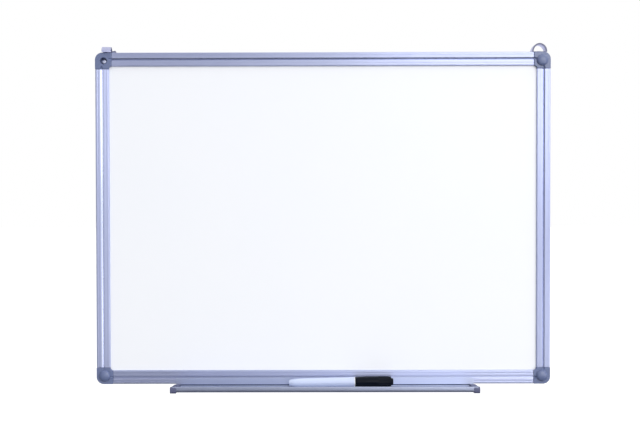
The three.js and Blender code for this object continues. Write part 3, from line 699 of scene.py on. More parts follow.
@dataclass
class FrameRails:
    """The four frame rails, cut from one hollow extrusion. Sizes in millimetres."""

    wall: float = 1.3
    front_wall: float = 2.9
    shoulder: float = 19.65
    outer_radius: float = 1.4
    inner_radius: float = 1.2
    groove_start: float = 7.1
    groove_bottom: float = 9.8
    groove_end: float = 10.4
    groove_floor: float = 18.1
    groove_foot: tuple[Flat, ...] = ((0.3, 0.2), (0.1, 0.0), (-0.2, 0.06))
    groove_lip: Flat = (0.35, 0.16)
    line_width: float = 0.6
    line_depth: float = 0.11
    crown_rise: float = 0.1
    slot_back: float = 4.2
    slot_width: float = 2.4
    channel_height: float = 6.6
    channel_depth: float = 2.6
    end_gap: float = 0.2

    def face(self) -> list[Flat]:
        """Draw the rail's face, from its inner edge out: crowns, fine lines and the groove.

        Returns:
            Points of (distance in from the frame's outside, distance from its back).
        """
        top = self.shoulder
        inner_line = (self.groove_end + FRAME_FACE) / 2
        outer_line = self.groove_start / 2
        points = arc(FRAME_FACE - self.inner_radius, top - self.inner_radius, self.inner_radius, 0, 90, 6)
        for middle, far in ((inner_line, self.groove_end), (outer_line, self.outer_radius)):
            near = points[-1]
            half = self.line_width / 2
            points += crown(near, (middle + half, top), self.crown_rise)[1:]
            points.append((middle, top - self.line_depth))
            points += crown((middle - half, top), (far, top), self.crown_rise)
            if far == self.groove_end:
                points += [(self.groove_bottom + across, self.groove_floor + up)
                           for across, up in self.groove_foot]
                eased, drop = self.groove_lip
                points += [(self.groove_start + eased, top - drop), (self.groove_start, top)]
        points += arc(self.outer_radius, top - self.outer_radius, self.outer_radius, 90, 180, 8)[1:]
        return points

    def section(self) -> list[Flat]:
        """Draw the closed outline of the extrusion.

        Returns:
            The outline, in the same terms as the face.
        """
        floor = self.wall
        deep, high = floor + self.channel_depth, floor + self.channel_height
        slot_front = self.slot_back + self.slot_width
        ledge, sight = PANEL_BACK - self.wall, FRAME_DEPTH - self.front_wall
        return [
            (0, 0), (PANEL_SEAT, 0), (PANEL_SEAT, ledge), (FRAME_FACE, ledge), (FRAME_FACE, PANEL_BACK),
            (PANEL_SEAT, PANEL_BACK), (PANEL_SEAT, sight), (FRAME_FACE, sight), *self.face(),
            (0, slot_front), (floor, slot_front), (floor, high), (deep, high),
            (deep, floor), (floor, floor), (floor, self.slot_back), (0, self.slot_back),
        ]

    def chamber(self) -> list[Flat]:
        """Draw the hollow inside the extrusion.

        Returns:
            The outline, in the same terms as the face.
        """
        floor = self.wall
        past = floor + self.channel_depth + self.wall
        over = 2 * self.wall + self.channel_height
        back, front = self.wall, FRAME_DEPTH - self.front_wall
        inside = PANEL_SEAT - self.wall
        return [(past, back), (inside, back), (inside, front), (floor, front), (floor, over), (past, over)]

    def build(self) -> None:
        """Extrude one long and one short rail and copy each to the other side."""
        half_x = BOARD_WIDTH / 2 - CORNER_SIZE - self.end_gap
        half_z = BOARD_HEIGHT / 2 - CORNER_SIZE - self.end_gap
        left, low = -BOARD_WIDTH / 2, CENTRE_Z - half_z
        across = Bench.prism(
            "rail_bottom_extrusion",
            [(-half_x, -depth, BOTTOM + inward) for inward, depth in self.section()],
            (2 * half_x, 0, 0),
            [(-half_x, -depth, BOTTOM + inward) for inward, depth in self.chamber()],
        )
        upright = Bench.prism(
            "rail_left_extrusion",
            [(left + inward, -depth, low) for inward, depth in self.section()],
            (0, 0, 2 * half_z),
            [(left + inward, -depth, low) for inward, depth in self.chamber()],
        )
        over = Bench.copy(across, "rail_top_extrusion", Corner.TOP_LEFT.mirror)
        other = Bench.copy(upright, "rail_right_extrusion", Corner.BOTTOM_RIGHT.mirror)
        level = (Shop.RAIL_ACROSS, Shop.GROOVE_ACROSS)
        standing = (Shop.RAIL_UPRIGHT, Shop.GROOVE_UPRIGHT)
        for piece, (finish, groove), node in (
            (across, level, "rail_bottom"), (over, level, "rail_top"),
            (upright, standing, "rail_left"), (other, standing, "rail_right"),
        ):
            complete(piece, finish, "board", "anodised_rail", node)
            # The photograph shows no sharp line in the bottom rail's groove, so it keeps the rail's finish.
            if piece is not across:
                self.refinish_groove(piece, groove)

    def refinish_groove(self, piece: bpy.types.Object, finish: Finish) -> None:
        """Give a rail's groove its smoother finish, which on the top rail also carries painted shade.

        Args:
            piece: The rail.
            finish: The groove's finish.
        """
        piece.data.materials.append(finish.material())
        for face in piece.data.polygons:
            place = face.center / MM
            inward = min(BOARD_WIDTH / 2 - abs(place.x), BOARD_HEIGHT / 2 - abs(place.z - CENTRE_Z))
            on_face = -place.y > self.groove_floor - SKIN
            if self.groove_start < inward < self.groove_end and on_face:
                face.material_index = 1


@dataclass
class MouldedCorners:
    """The corner caps with their screws and cover plugs. Sizes in millimetres."""

    radius: float = 9.6
    edge_round: float = 0.8
    front: float = 20.6
    screw_inset: float = 11.1
    bore_radius: float = 4.4
    bore_floor: float = 13.1
    bore_flare: float = 0.5
    screw_bore_radius: float = 1.75
    pocket_back: float = 2.0
    key_back: float = 2.3
    key_front: float = 7.8
    key_clip: float = 2.8
    side_wall: float = 2.5
    panel_front: float = 17.1
    panel_clip: float = 3.5
    groove_centre: float = 8.9
    scoop_length: float = 4.9
    scoop_depth: float = 2.3
    scoop_width: float = 1.9
    scoop_past: float = 0.4
    scoop_over: float = 0.5
    plug_gap: float = 0.1
    plug_radius: float = 7.3
    plug_chamfer: float = 0.2
    plug_rim: float = 0.8
    plug_dome: float = 3.5
    stem_radius: float = 4.1
    stem_length: float = 4.6
    stem_chamfer: Flat = (0.5, 0.8)
    head_radius: float = 3.0
    head_top: float = 15.6
    head_height: float = 2.4
    head_round: float = 0.9
    shank_radius: float = 1.45
    point_gap: float = 0.3
    point_end: float = 1.3
    cross_half: Flat = (0.38, 1.7)
    cross_depth: float = 1.3

    def at(self, u: float, v: float, depth: float) -> Vector:
        """Return a place in the bottom left corner: in from the side, up from the bottom, off the back."""
        return Vector((u - BOARD_WIDTH / 2, -depth, BOTTOM + v))

    def outline(self) -> list[Flat]:
        """Return the cap's outline, with its round outer corner and hollow web inside."""
        web = CORNER_SIZE - FRAME_FACE
        return [
            *arc(self.radius, self.radius, self.radius, 180, 270, 12), (CORNER_SIZE, 0),
            (CORNER_SIZE, FRAME_FACE), *arc(CORNER_SIZE, CORNER_SIZE, web, 270, 180, 8)[1:], (0, CORNER_SIZE),
        ]

    def groove_tool(self, along_side: bool) -> bpy.types.Object:
        """Make the scoop that lets a rail's groove run out in the cap.

        Args:
            along_side: Whether it meets the upright rail, and not the level one.

        Returns:
            The tool.
        """
        Bench.clear()
        over = self.front + self.scoop_over
        end = self.at(CORNER_SIZE + self.scoop_past, self.groove_centre, over)
        size = (self.scoop_length, self.scoop_depth, self.scoop_width)
        if along_side:
            end = self.at(self.groove_centre, CORNER_SIZE + self.scoop_past, over)
            size = size[::-1]
        bpy.ops.mesh.primitive_uv_sphere_add(
            segments=32, ring_count=20, radius=MM, location=end * MM, scale=size
        )
        bpy.ops.object.transform_apply(location=True, rotation=True, scale=True)
        return bpy.context.object

    def pocket(self, low: float, clip: float, back: float, front: float) -> bpy.types.Object:
        """Make the tool for a square pocket with its outer corner clipped off.

        Args:
            low: How far in from both edges it starts.
            clip: How much of its corner is clipped.
            back: Its back, off the board's back.
            front: Its front.

        Returns:
            The tool.
        """
        past = CORNER_SIZE + PAST
        outline = [(low + clip, low), (past, low), (past, past), (low, past), (low, low + clip)]
        return Bench.prism("pocket", [self.at(u, v, back) for u, v in outline], (0, back - front, 0))

    def cap(self) -> bpy.types.Object:
        """Model the bottom left cap.

        Returns:
            The cap.
        """
        outline = [self.at(u, v, 0) for u, v in self.outline()]
        piece = Bench.prism("corner_cap", outline, (0, -self.front, 0))
        Bench.round_edges(piece, self.edge_round, segments=4)
        mouth = self.bore_radius + self.bore_flare
        tools = [
            self.groove_tool(False), self.groove_tool(True),
            self.pocket(self.side_wall, self.key_clip, self.pocket_back, self.key_front),
            self.pocket(PANEL_SEAT, self.panel_clip, PANEL_BACK, self.panel_front),
            Bench.turned("bore", [
                (0, self.key_back), (self.screw_bore_radius, self.key_back),
                (self.screw_bore_radius, self.bore_floor), (self.bore_radius, self.bore_floor),
                (self.bore_radius, self.front - self.bore_flare), (mouth, self.front),
                (mouth, self.front + PAST), (0, self.front + PAST),
            ], self.at(self.screw_inset, self.screw_inset, 0), (0, -1, 0)),
        ]
        for tool in tools:
            Bench.combine(piece, tool)
        return piece

    def screw(self) -> bpy.types.Object:
        """Model the bottom left screw: a pan head with a cross recess.

        Returns:
            The screw.
        """
        seat = self.head_top - self.head_height
        foot = self.at(self.screw_inset, self.screw_inset, 0)
        flat, rise = self.head_radius - self.head_round, self.head_top - self.head_round
        piece = Bench.turned("corner_screw", [
            (0, self.key_back + self.point_gap), (self.shank_radius, self.key_back + self.point_end),
            (self.shank_radius, seat), (self.head_radius, seat),
            *arc(flat, rise, self.head_round, 0, 70, 5), (0, self.head_top),
        ], foot, (0, -1, 0), 48)
        for half_x, half_z in (self.cross_half, self.cross_half[::-1]):
            reach = Vector((half_x, 0, half_z))
            low = foot - reach - Vector((0, self.head_top - self.cross_depth, 0))
            high = foot + reach - Vector((0, self.head_top + PAST, 0))
            Bench.combine(piece, Bench.block(low, high))
        return piece

    def plug(self) -> bpy.types.Object:
        """Model the bottom left cover plug: a domed button on a stem.

        Returns:
            The plug.
        """
        back = self.front + self.plug_gap
        brim = back + self.plug_rim
        tip = back - self.stem_length
        narrower, longer = self.stem_chamfer
        dome = [(self.plug_radius * x, brim + self.plug_dome * y) for x, y in arc(0, 0, 1, 4, 90, 18)]
        return Bench.turned("cover_plug", [
            (0, tip), (self.stem_radius - narrower, tip), (self.stem_radius, tip + longer),
            (self.stem_radius, back), (self.plug_radius - self.plug_chamfer, back),
            (self.plug_radius, back + self.plug_chamfer), (self.plug_radius, brim), *dome,
        ], self.at(self.screw_inset, self.screw_inset, 0), (0, -1, 0), 72)

    def build(self) -> None:
        """Model each piece once and copy it to its corners."""
        for make, word, finish, slot in (
            (self.cap, "corner_cap", Shop.CORNER, "corner_plastic"),
            (self.screw, "corner_screw", Shop.ZINC, "zinc"),
            (self.plug, "cover_plug", Shop.CORNER, "corner_plastic"),
        ):
            model = make()
            for corner in Corner:
                # The top left corner has lost its plug, so its screw shows.
                if word == "cover_plug" and corner is Corner.TOP_LEFT:
                    continue
                node = f"{word}_{corner.place}"
                body = f"plug_{corner.place}" if word == "cover_plug" else "board"
                complete(Bench.copy(model, node + "_piece", corner.mirror), finish, body, slot, node)
            bpy.data.objects.remove(model)


@dataclass
class StrapHangers:
    """The two swivel hangers: strap loop with its tongue, pad and rivet. Sizes in millimetres.

    The right one faces the reader. The left one is lower and turned nearly edge on.
    """

    pivot_x: float = 285.8
    pivot_y: float = -12.8
    base_z: float = 7.35
    left_turn: float = -82.0
    radius: float = 10.0
    left_height: float = 8.2
    right_height: float = 11.4
    strap: float = 2.0
    width: float = 12.0
    bar_width: float = 5.2
    bar: float = 0.9
    strap_round: float = 0.3
    bar_round: float = 0.15
    tongue_round: float = 0.2
    pad_round: float = 0.1
    pad_gap: float = 1.0
    pad_narrower: float = 0.3
    clearance: float = 0.2
    tongue_width: float = 7.0
    tongue_strip: float = 1.4
    tongue_rise: float = 1.6
    tongue_root: float = 4.0
    tongue_tip: float = 11.7
    rivet_radius: float = 1.3
    rivet_play: float = 0.3
    head_radius: float = 2.3
    head_gap: float = 0.1
    head_rim: float = 0.2
    head_height: float = 0.5
    rivet_bite: float = 3.6
    edge_on: float = 0.9

    def loop(self, height: float) -> bpy.types.Object:
        """Bend the strap into its arch, weld on the bar and the tongue and pierce the rivet's hole.

        Args:
            height: The arch's height.

        Returns:
            The loop.
        """
        inner, lower = self.radius - self.strap, height - self.strap
        outline = [(self.radius * x, height * z) for x, z in arc(0, 0, 1, 0, 180, 32)]
        outline += [(inner * x, lower * z) for x, z in arc(0, 0, 1, 180, 0, 32)]
        piece = Bench.prism("hanger_loop", [(x, -self.width / 2, z) for x, z in outline], (0, self.width, 0))
        Bench.round_edges(piece, self.strap_round, segments=2, sharp=60)
        reach, half_bar = self.radius - self.strap / 2, self.bar_width / 2
        bar = Bench.block((-reach, -half_bar, 0), (reach, half_bar, self.bar))
        Bench.round_edges(bar, self.bar_round, segments=2, sharp=60)
        bend, half = self.tongue_strip, self.tongue_width / 2
        mid = self.tongue_strip / 2 + self.tongue_rise
        side = [(0, bend / 2), (self.tongue_root, bend / 2),
                *arc(self.tongue_tip - bend, mid - bend, bend, 90, 0, 8), (self.tongue_tip, self.clearance)]
        tongue = Bench.band("tongue", [(-half, y, z) for y, z in side], (2 * half, 0, 0), self.tongue_strip)
        Bench.round_edges(tongue, self.tongue_round, segments=2, sharp=60)
        Bench.combine(piece, bar, "UNION")
        Bench.combine(piece, tongue, "UNION")
        clear, head = self.rivet_radius + self.rivet_play, self.head_radius + self.rivet_play
        profile = [
            (0, -PAST), (clear, -PAST), (clear, self.bar), (head, self.bar), (head, 2 * PAST), (0, 2 * PAST),
        ]
        Bench.combine(piece, Bench.turned("hole", profile, (0, 0, 0), (0, 0, 1), 40))
        return piece

    def pad(self) -> bpy.types.Object:
        """Model the friction pad under the tongue.

        Returns:
            The pad.
        """
        start, end = self.width / 2 + self.pad_gap, self.tongue_tip - self.tongue_strip
        slope = self.tongue_rise / (end - self.tongue_root)
        half = self.tongue_width / 2 - self.pad_narrower
        low, high = (slope * (reach - self.tongue_root) - self.clearance for reach in (start, end))
        outline = [(-half, start, 0), (-half, end, 0), (-half, end, high), (-half, start, low)]
        piece = Bench.prism("hanger_pad", outline, (2 * half, 0, 0))
        Bench.round_edges(piece, self.pad_round, segments=2)
        return piece

    def rivet(self) -> bpy.types.Object:
        """Turn the rivet with its low domed head.

        Returns:
            The rivet.
        """
        seat = self.bar + self.head_gap
        tail = -self.clearance - self.rivet_bite
        rim, rise = seat + self.head_rim, self.head_height - self.head_rim
        dome = [(self.head_radius * x, rim + rise * y) for x, y in arc(0, 0, 1, 0, 90, 8)]
        return Bench.turned("hanger_rivet", [
            (0, tail), (self.rivet_radius, tail), (self.rivet_radius, seat), (self.head_radius, seat), *dome,
        ], (0, 0, 0), (0, 0, 1), 48)

    def build(self) -> None:
        """Make both hangers from one pad and one rivet, and a loop for each."""
        shared = (
            (self.pad(), "hanger_pad", Shop.PAD, "pad_plastic"),
            (self.rivet(), "hanger_rivet", Shop.ZINC, "zinc"),
        )
        for place, side, height, degrees in (
            ("left", -1, self.left_height, self.left_turn), ("right", 1, self.right_height, 0),
        ):
            turn = math.radians(degrees)
            moved = Matrix.Translation(Vector((side * self.pivot_x, self.pivot_y, self.base_z)) * MM)
            moved = moved @ Matrix.Rotation(turn, 4, "Z")
            model = self.loop(height)
            for made, word, finish, slot in ((model, "hanger_loop", Shop.STRAP, "loop_steel"), *shared):
                body = "board" if word == "hanger_rivet" else f"{place}_loop"
                node = f"{word}_{place}"
                piece = complete(Bench.copy(made, node + "_piece", moved), finish, body, slot, node)
                if word == "hanger_loop":
                    self.darken_edges(piece, turn)
            bpy.data.objects.remove(model)
        for made, *_ in shared:
            bpy.data.objects.remove(made)

    def darken_edges(self, piece: bpy.types.Object, turn: float) -> None:
        """Give the strap's edge faces their own darker finish.

        Args:
            piece: The loop.
            turn: How far it was turned about the vertical.
        """
        back = Matrix.Rotation(-turn, 3, "Z")
        pivot = Vector((math.copysign(self.pivot_x, piece.data.vertices[0].co.x), self.pivot_y, self.base_z))
        piece.data.materials.append(Shop.STRAP_EDGE.material())
        for face in piece.data.polygons:
            normal = back @ face.normal
            place = back @ (face.center / MM - pivot)
            on_tongue = place.y > self.width / 2 + SKIN
            sideways = abs(normal.x if on_tongue else normal.y)
            face.material_index = 1 if sideways > self.edge_on else 0


@dataclass
class PenTray:
    """The rolled pen tray with its runner and two moulded ends. Sizes in millimetres."""

    centre_x: float = 2.2
    length: float = 397.2
    wall: float = 1.3
    flange_y: float = -20.95
    flange_height: float = 8.9
    floor_z: float = BOTTOM - 2.95
    front_y: float = -57.0
    lip_rise: float = 4.1
    nose: float = 3.8
    curl: float = 1.1
    metal_round: float = 0.25
    runner_drop: float = 0.95
    hook_y: float = -5.4
    hook_rise: float = 2.25
    barb_y: float = -1.6
    fold_top: float = 0.1
    fold_foot: float = 1.7
    fold_depth: float = 0.9
    end_width: float = 8.0
    end_wall: float = 1.8
    end_proud: float = 0.9
    end_back: float = 0.3
    end_corner: float = 3.0
    end_round: float = 0.7
    end_slope: float = 1.0
    fit: float = 0.2

    @property
    def flange_face(self) -> float:
        """The y of the flange's front face."""
        return self.flange_y - self.wall / 2

    def trough(self) -> list[Flat]:
        """Draw the line of the trough, from the flange's top to the curl's tip.

        Returns:
            Points of (y, z).
        """
        lip = self.front_y + self.wall / 2
        curl_z = BOTTOM + self.lip_rise - self.wall / 2 - self.curl
        return [
            (self.flange_y, BOTTOM + self.flange_height),
            *arc(self.flange_y - self.wall, self.floor_z + self.wall, self.wall, 0, -90, 5),
            *arc(lip + self.nose, self.floor_z + self.nose, self.nose, -90, -180, 12),
            *arc(lip + self.curl, curl_z, self.curl, 180, 0, 10),
        ]

    def runner(self) -> list[Flat]:
        """Return the line of the runner that hooks into the bottom rail's slot."""
        foot, barb = BOTTOM - self.runner_drop, BOTTOM + self.hook_rise
        return [(self.flange_y, foot), (self.hook_y, foot), (self.hook_y, barb), (self.barb_y, barb)]

    def metal(self) -> bpy.types.Object:
        """Extrude the trough and the runner, weld them and press the fold along the flange's foot.

        Returns:
            The tray's metal.
        """
        length = self.length - 2 * (self.end_wall + self.fit)
        start = self.centre_x - length / 2
        piece, runner = (
            Bench.band(name, [(start, y, z) for y, z in line], (length, 0, 0), self.wall)
            for name, line in (("pen_tray_extrusion", self.trough()), ("runner", self.runner()))
        )
        Bench.round_edges(piece, self.metal_round, segments=2, sharp=60)
        Bench.combine(piece, runner, "UNION")
        low = (start - PAST, self.flange_face - PAST, BOTTOM - self.fold_foot)
        high = (start + length + PAST, self.flange_face + self.fold_depth, BOTTOM - self.fold_top)
        Bench.combine(piece, Bench.block(low, high))
        return piece

    def end(self) -> bpy.types.Object:
        """Model the left end: a rounded block with a socket for the extrusion.

        Returns:
            The end.
        """
        back = self.flange_face - self.end_back
        front = self.front_y - self.end_proud
        low = self.floor_z - self.wall / 2 - self.end_proud
        top = BOTTOM + self.lip_rise
        corner = self.end_corner
        outline = [
            (back, low), (back, BOTTOM), (self.front_y + self.nose, top - self.end_slope),
            *arc(front + corner, top - corner, corner, 90, 180, 8),
            *arc(front + corner, low + corner, corner, 180, 270, 8),
        ]
        left = self.centre_x - self.length / 2
        piece = Bench.prism("tray_end", [(left, y, z) for y, z in outline], (self.end_width, 0, 0))
        Bench.round_edges(piece, self.end_round)
        start = left + self.end_wall
        socket = Bench.band("socket", [(start, y, z) for y, z in self.trough()],
                            (self.end_width, 0, 0), self.wall + 2 * self.fit)
        Bench.combine(piece, socket)
        return piece

    def build(self) -> None:
        """Make the tray and its two ends."""
        metal = complete(self.metal(), Shop.TRAY, "tray", "anodised_tray", "pen_tray")
        for finish in (Shop.TRAY_FOLD_SHADE, Shop.TRAY_LIP):
            metal.data.materials.append(finish.material())
        # Slot 1 is the fold at the flange's foot, painted dark as its shadow, and slot 2 the lip, painted
        # darker as shade.
        back = self.flange_face
        for face in metal.data.polygons:
            place = face.center / MM
            at_foot = BOTTOM - self.fold_foot - SKIN < place.z < BOTTOM
            if at_foot and back + SKIN < place.y < back + PAST:
                face.material_index = 1
            # Faces on the lip take the darker painted shade.
            elif place.y < self.front_y + self.nose:
                face.material_index = 2
        about = Matrix.Translation((self.centre_x * MM, 0, 0))
        mirror = about @ Matrix.Diagonal((-1, 1, 1, 1)) @ about.inverted()
        left = self.end()
        right = Bench.copy(left, "tray_end_right_moulding", mirror)
        left.name = "tray_end_left_moulding"
        for piece, place in ((left, "left"), (right, "right")):
            complete(piece, Shop.TRAY_END, "tray", "tray_end_plastic", f"tray_end_{place}")


@dataclass
class Marker:
    """The marker in the tray, turned about its own leaning axis. Sizes in millimetres."""

    tail: tuple[float, float, float] = (-44.7, -29.7, -427.305)
    lean: float = 0.013202
    body_length: float = 85.2
    tail_radius: float = 5.7
    neck_radius: float = 6.35
    tail_round: float = 2.1
    tail_falloff: int = 14
    seam: float = 0.1
    fit: float = 0.2
    bore_radius: float = 3.6
    wall: float = 1.1
    neck_chamfer: Flat = (0.2, 0.3)
    tail_length: float = 5.0
    foot_round: float = 0.5
    holder_depth: float = 12.0
    holder_taper: float = 8.0
    collar_length: float = 1.2
    spigot_radius: float = 4.7
    spigot_length: float = 15.0
    spigot_chamfer: Flat = (0.2, 0.5)
    nose_length: float = 5.8
    nose_wall: float = 1.0
    nib_radius: float = 2.3
    nib_root: float = 9.0
    nib_reach: float = 23.2
    nib_bullet: float = 3.4
    cap_start: float = 1.5
    cap_length: float = 47.0
    cap_radius: float = 7.0
    cap_wall: float = 1.2
    mouth_radius: float = 6.5
    mouth_chamfer: Flat = (0.25, 0.5)
    end_chamfer: Flat = (0.5, 0.7)
    knob_length: float = 2.7
    knob_radius: float = 4.2
    knob_chamfer: float = 0.5
    flutes: int = 20
    flute_start: float = 30.0
    flute_end: float = 44.5
    flute_depth: float = 0.35
    flute_skin: float = 0.3
    flute_sides: int = 4
    swell_steps: int = 48

    def axis(self) -> Vector:
        """Return the way the marker points."""
        return Vector((math.cos(self.lean), 0, math.sin(self.lean)))

    def spin(self, name: str, profile: Sequence[Flat], sides: int = 64) -> bpy.types.Object:
        """Turn one of the marker's pieces from (radius, distance from the tail)."""
        return Bench.turned(name, profile, self.tail, self.axis(), sides)

    def outside(self, start: float, end: float, steps: int) -> list[Flat]:
        """Draw the barrel's outside, which tapers gently and rounds off near the tail.

        Args:
            start: Where it starts, from the tail.
            end: Where it ends.
            steps: The number of steps between.

        Returns:
            Points of (radius, distance from the tail).
        """
        points = []
        for i in range(steps + 1):
            along = start + (end - start) * (i / steps) ** 2
            share = along / self.body_length
            taper = self.tail_radius + (self.neck_radius - self.tail_radius) * share
            points.append((taper - self.tail_round * (1 - share) ** self.tail_falloff, along))
        return points

    def barrel(self) -> bpy.types.Object:
        """Turn the hollow barrel, which widens towards its neck.

        Returns:
            The barrel.
        """
        start, end = self.tail_length + self.seam, self.body_length
        narrower, shorter = self.neck_chamfer
        return self.spin("marker_barrel_moulding", [
            (self.bore_radius, start), *self.outside(start, end - shorter, 40),
            (self.neck_radius - narrower, end), (self.neck_radius - self.wall, end),
            (self.bore_radius, start),
        ])

    def tail_plug(self) -> bpy.types.Object:
        """Turn the rounded tail plug.

        Returns:
            The plug.
        """
        stem = self.bore_radius - self.fit
        end = self.tail_length
        shell = self.outside(0.0, end, 14)
        # The foot's round takes the place of the shell's first three points.
        bend = self.foot_round
        foot = arc(shell[0][0] - bend, bend, bend, -90, -20, 5)
        return self.spin("marker_tail_moulding", [
            (0, 0), *foot, *shell[3:], (stem, end), (stem, 2 * end), (0, 2 * end),
        ])

    def holder(self) -> bpy.types.Object:
        """Turn the nib holder: collar, spigot and taper.

        Returns:
            The holder.
        """
        bore = self.nib_radius + self.seam
        inside = self.neck_radius - self.wall - self.fit
        neck = self.body_length
        root, rest, collar = neck - self.holder_depth, neck + self.seam, neck + self.collar_length
        tip = collar + self.spigot_length
        nose = tip - self.nose_length
        narrower, shorter = self.spigot_chamfer
        return self.spin("marker_holder_moulding", [
            (bore, root), (self.bore_radius, root), (self.bore_radius + self.wall, root + self.holder_taper),
            (inside, neck), (inside, rest), (self.neck_radius, rest), (self.neck_radius, collar - narrower),
            (self.neck_radius - narrower, collar), (self.spigot_radius, collar),
            (self.spigot_radius, nose - shorter), (self.spigot_radius - narrower, nose),
            (self.nib_radius + self.nose_wall, tip), (bore, tip), (bore, root),
        ])

    def nib(self) -> bpy.types.Object:
        """Turn the rounded nib.

        Returns:
            The nib.
        """
        root, tip = self.body_length - self.nib_root, self.body_length + self.nib_reach
        bullet = [(self.nib_radius * x, tip - self.nib_bullet * (1 - y)) for x, y in arc(0, 0, 1, 0, 90, 8)]
        return self.spin("marker_nib_tip", [(0, root), (self.nib_radius, root), *bullet], 40)

    def cap(self) -> bpy.types.Object:
        """Turn the cap, swollen in the middle, and press the finger flutes into its far third.

        Returns:
            The cap.
        """
        start = self.body_length + self.cap_start
        end = start + self.cap_length
        mouth, knob = self.mouth_radius, self.knob_radius
        rim, rise = self.mouth_chamfer
        shoulder, drop = self.end_chamfer
        parts = (i / self.swell_steps for i in range(self.swell_steps + 1))
        swell = [(mouth + (self.cap_radius - mouth) * math.sin(math.pi * t),
                  start + rise + (self.cap_length - rise - drop) * t) for t in parts]
        tip, chamfer = end + self.knob_length, self.knob_chamfer
        roof = end - 2 * self.cap_wall
        piece = self.spin("marker_cap_moulding", [
            (mouth - self.cap_wall, start), (mouth - rim, start), *swell, (mouth - shoulder, end),
            (knob, end), (knob, tip - chamfer), (knob - chamfer, tip), (0, tip),
            (0, roof), (mouth - 2 * self.cap_wall, roof), (mouth - self.cap_wall, start),
        ], sides=self.flute_sides * self.flutes)
        axis, tail = self.axis(), Vector(self.tail)

        # Of the sides that each flute has to itself, the first half is pressed in.
        def in_flute(place: Vector) -> bool:
            """Test whether a vertex is on the outside and in one of the flutes.

            Args:
                place: The vertex's place in millimetres.

            Returns:
                Whether it is.
            """
            along = (place - tail).dot(axis)
            out = place - tail - axis * along
            turn = math.atan2(out.y, out.dot(axis.cross(Vector((0, 1, 0)))))
            slot = round(turn / math.tau * self.flute_sides * self.flutes) % self.flute_sides
            fluted = start + self.flute_start < along < start + self.flute_end
            outside = out.length > self.mouth_radius - self.flute_skin
            return fluted and outside and slot < self.flute_sides / 2

        Bench.edit(piece, in_flute)
        bpy.ops.transform.shrink_fatten(value=-self.flute_depth * MM)
        Bench.face_outwards(piece)
        return piece

    def build(self) -> None:
        """Make the marker's visible pieces."""
        for piece, finish, body, slot, node in (
            (self.barrel(), Shop.BARREL, "marker", "barrel_plastic", "marker_barrel"),
            (self.tail_plug(), Shop.BARREL, "marker", "barrel_plastic", "marker_tail_plug"),
            (self.holder(), Shop.HOLDER, "marker", "holder_plastic", "marker_nib_holder"),
            (self.nib(), Shop.FELT, "marker", "felt", "marker_nib"),
            (self.cap(), Shop.CAP, "marker_cover", "cap_plastic", "marker_cap"),
        ):
            complete(piece, finish, body, slot, node)


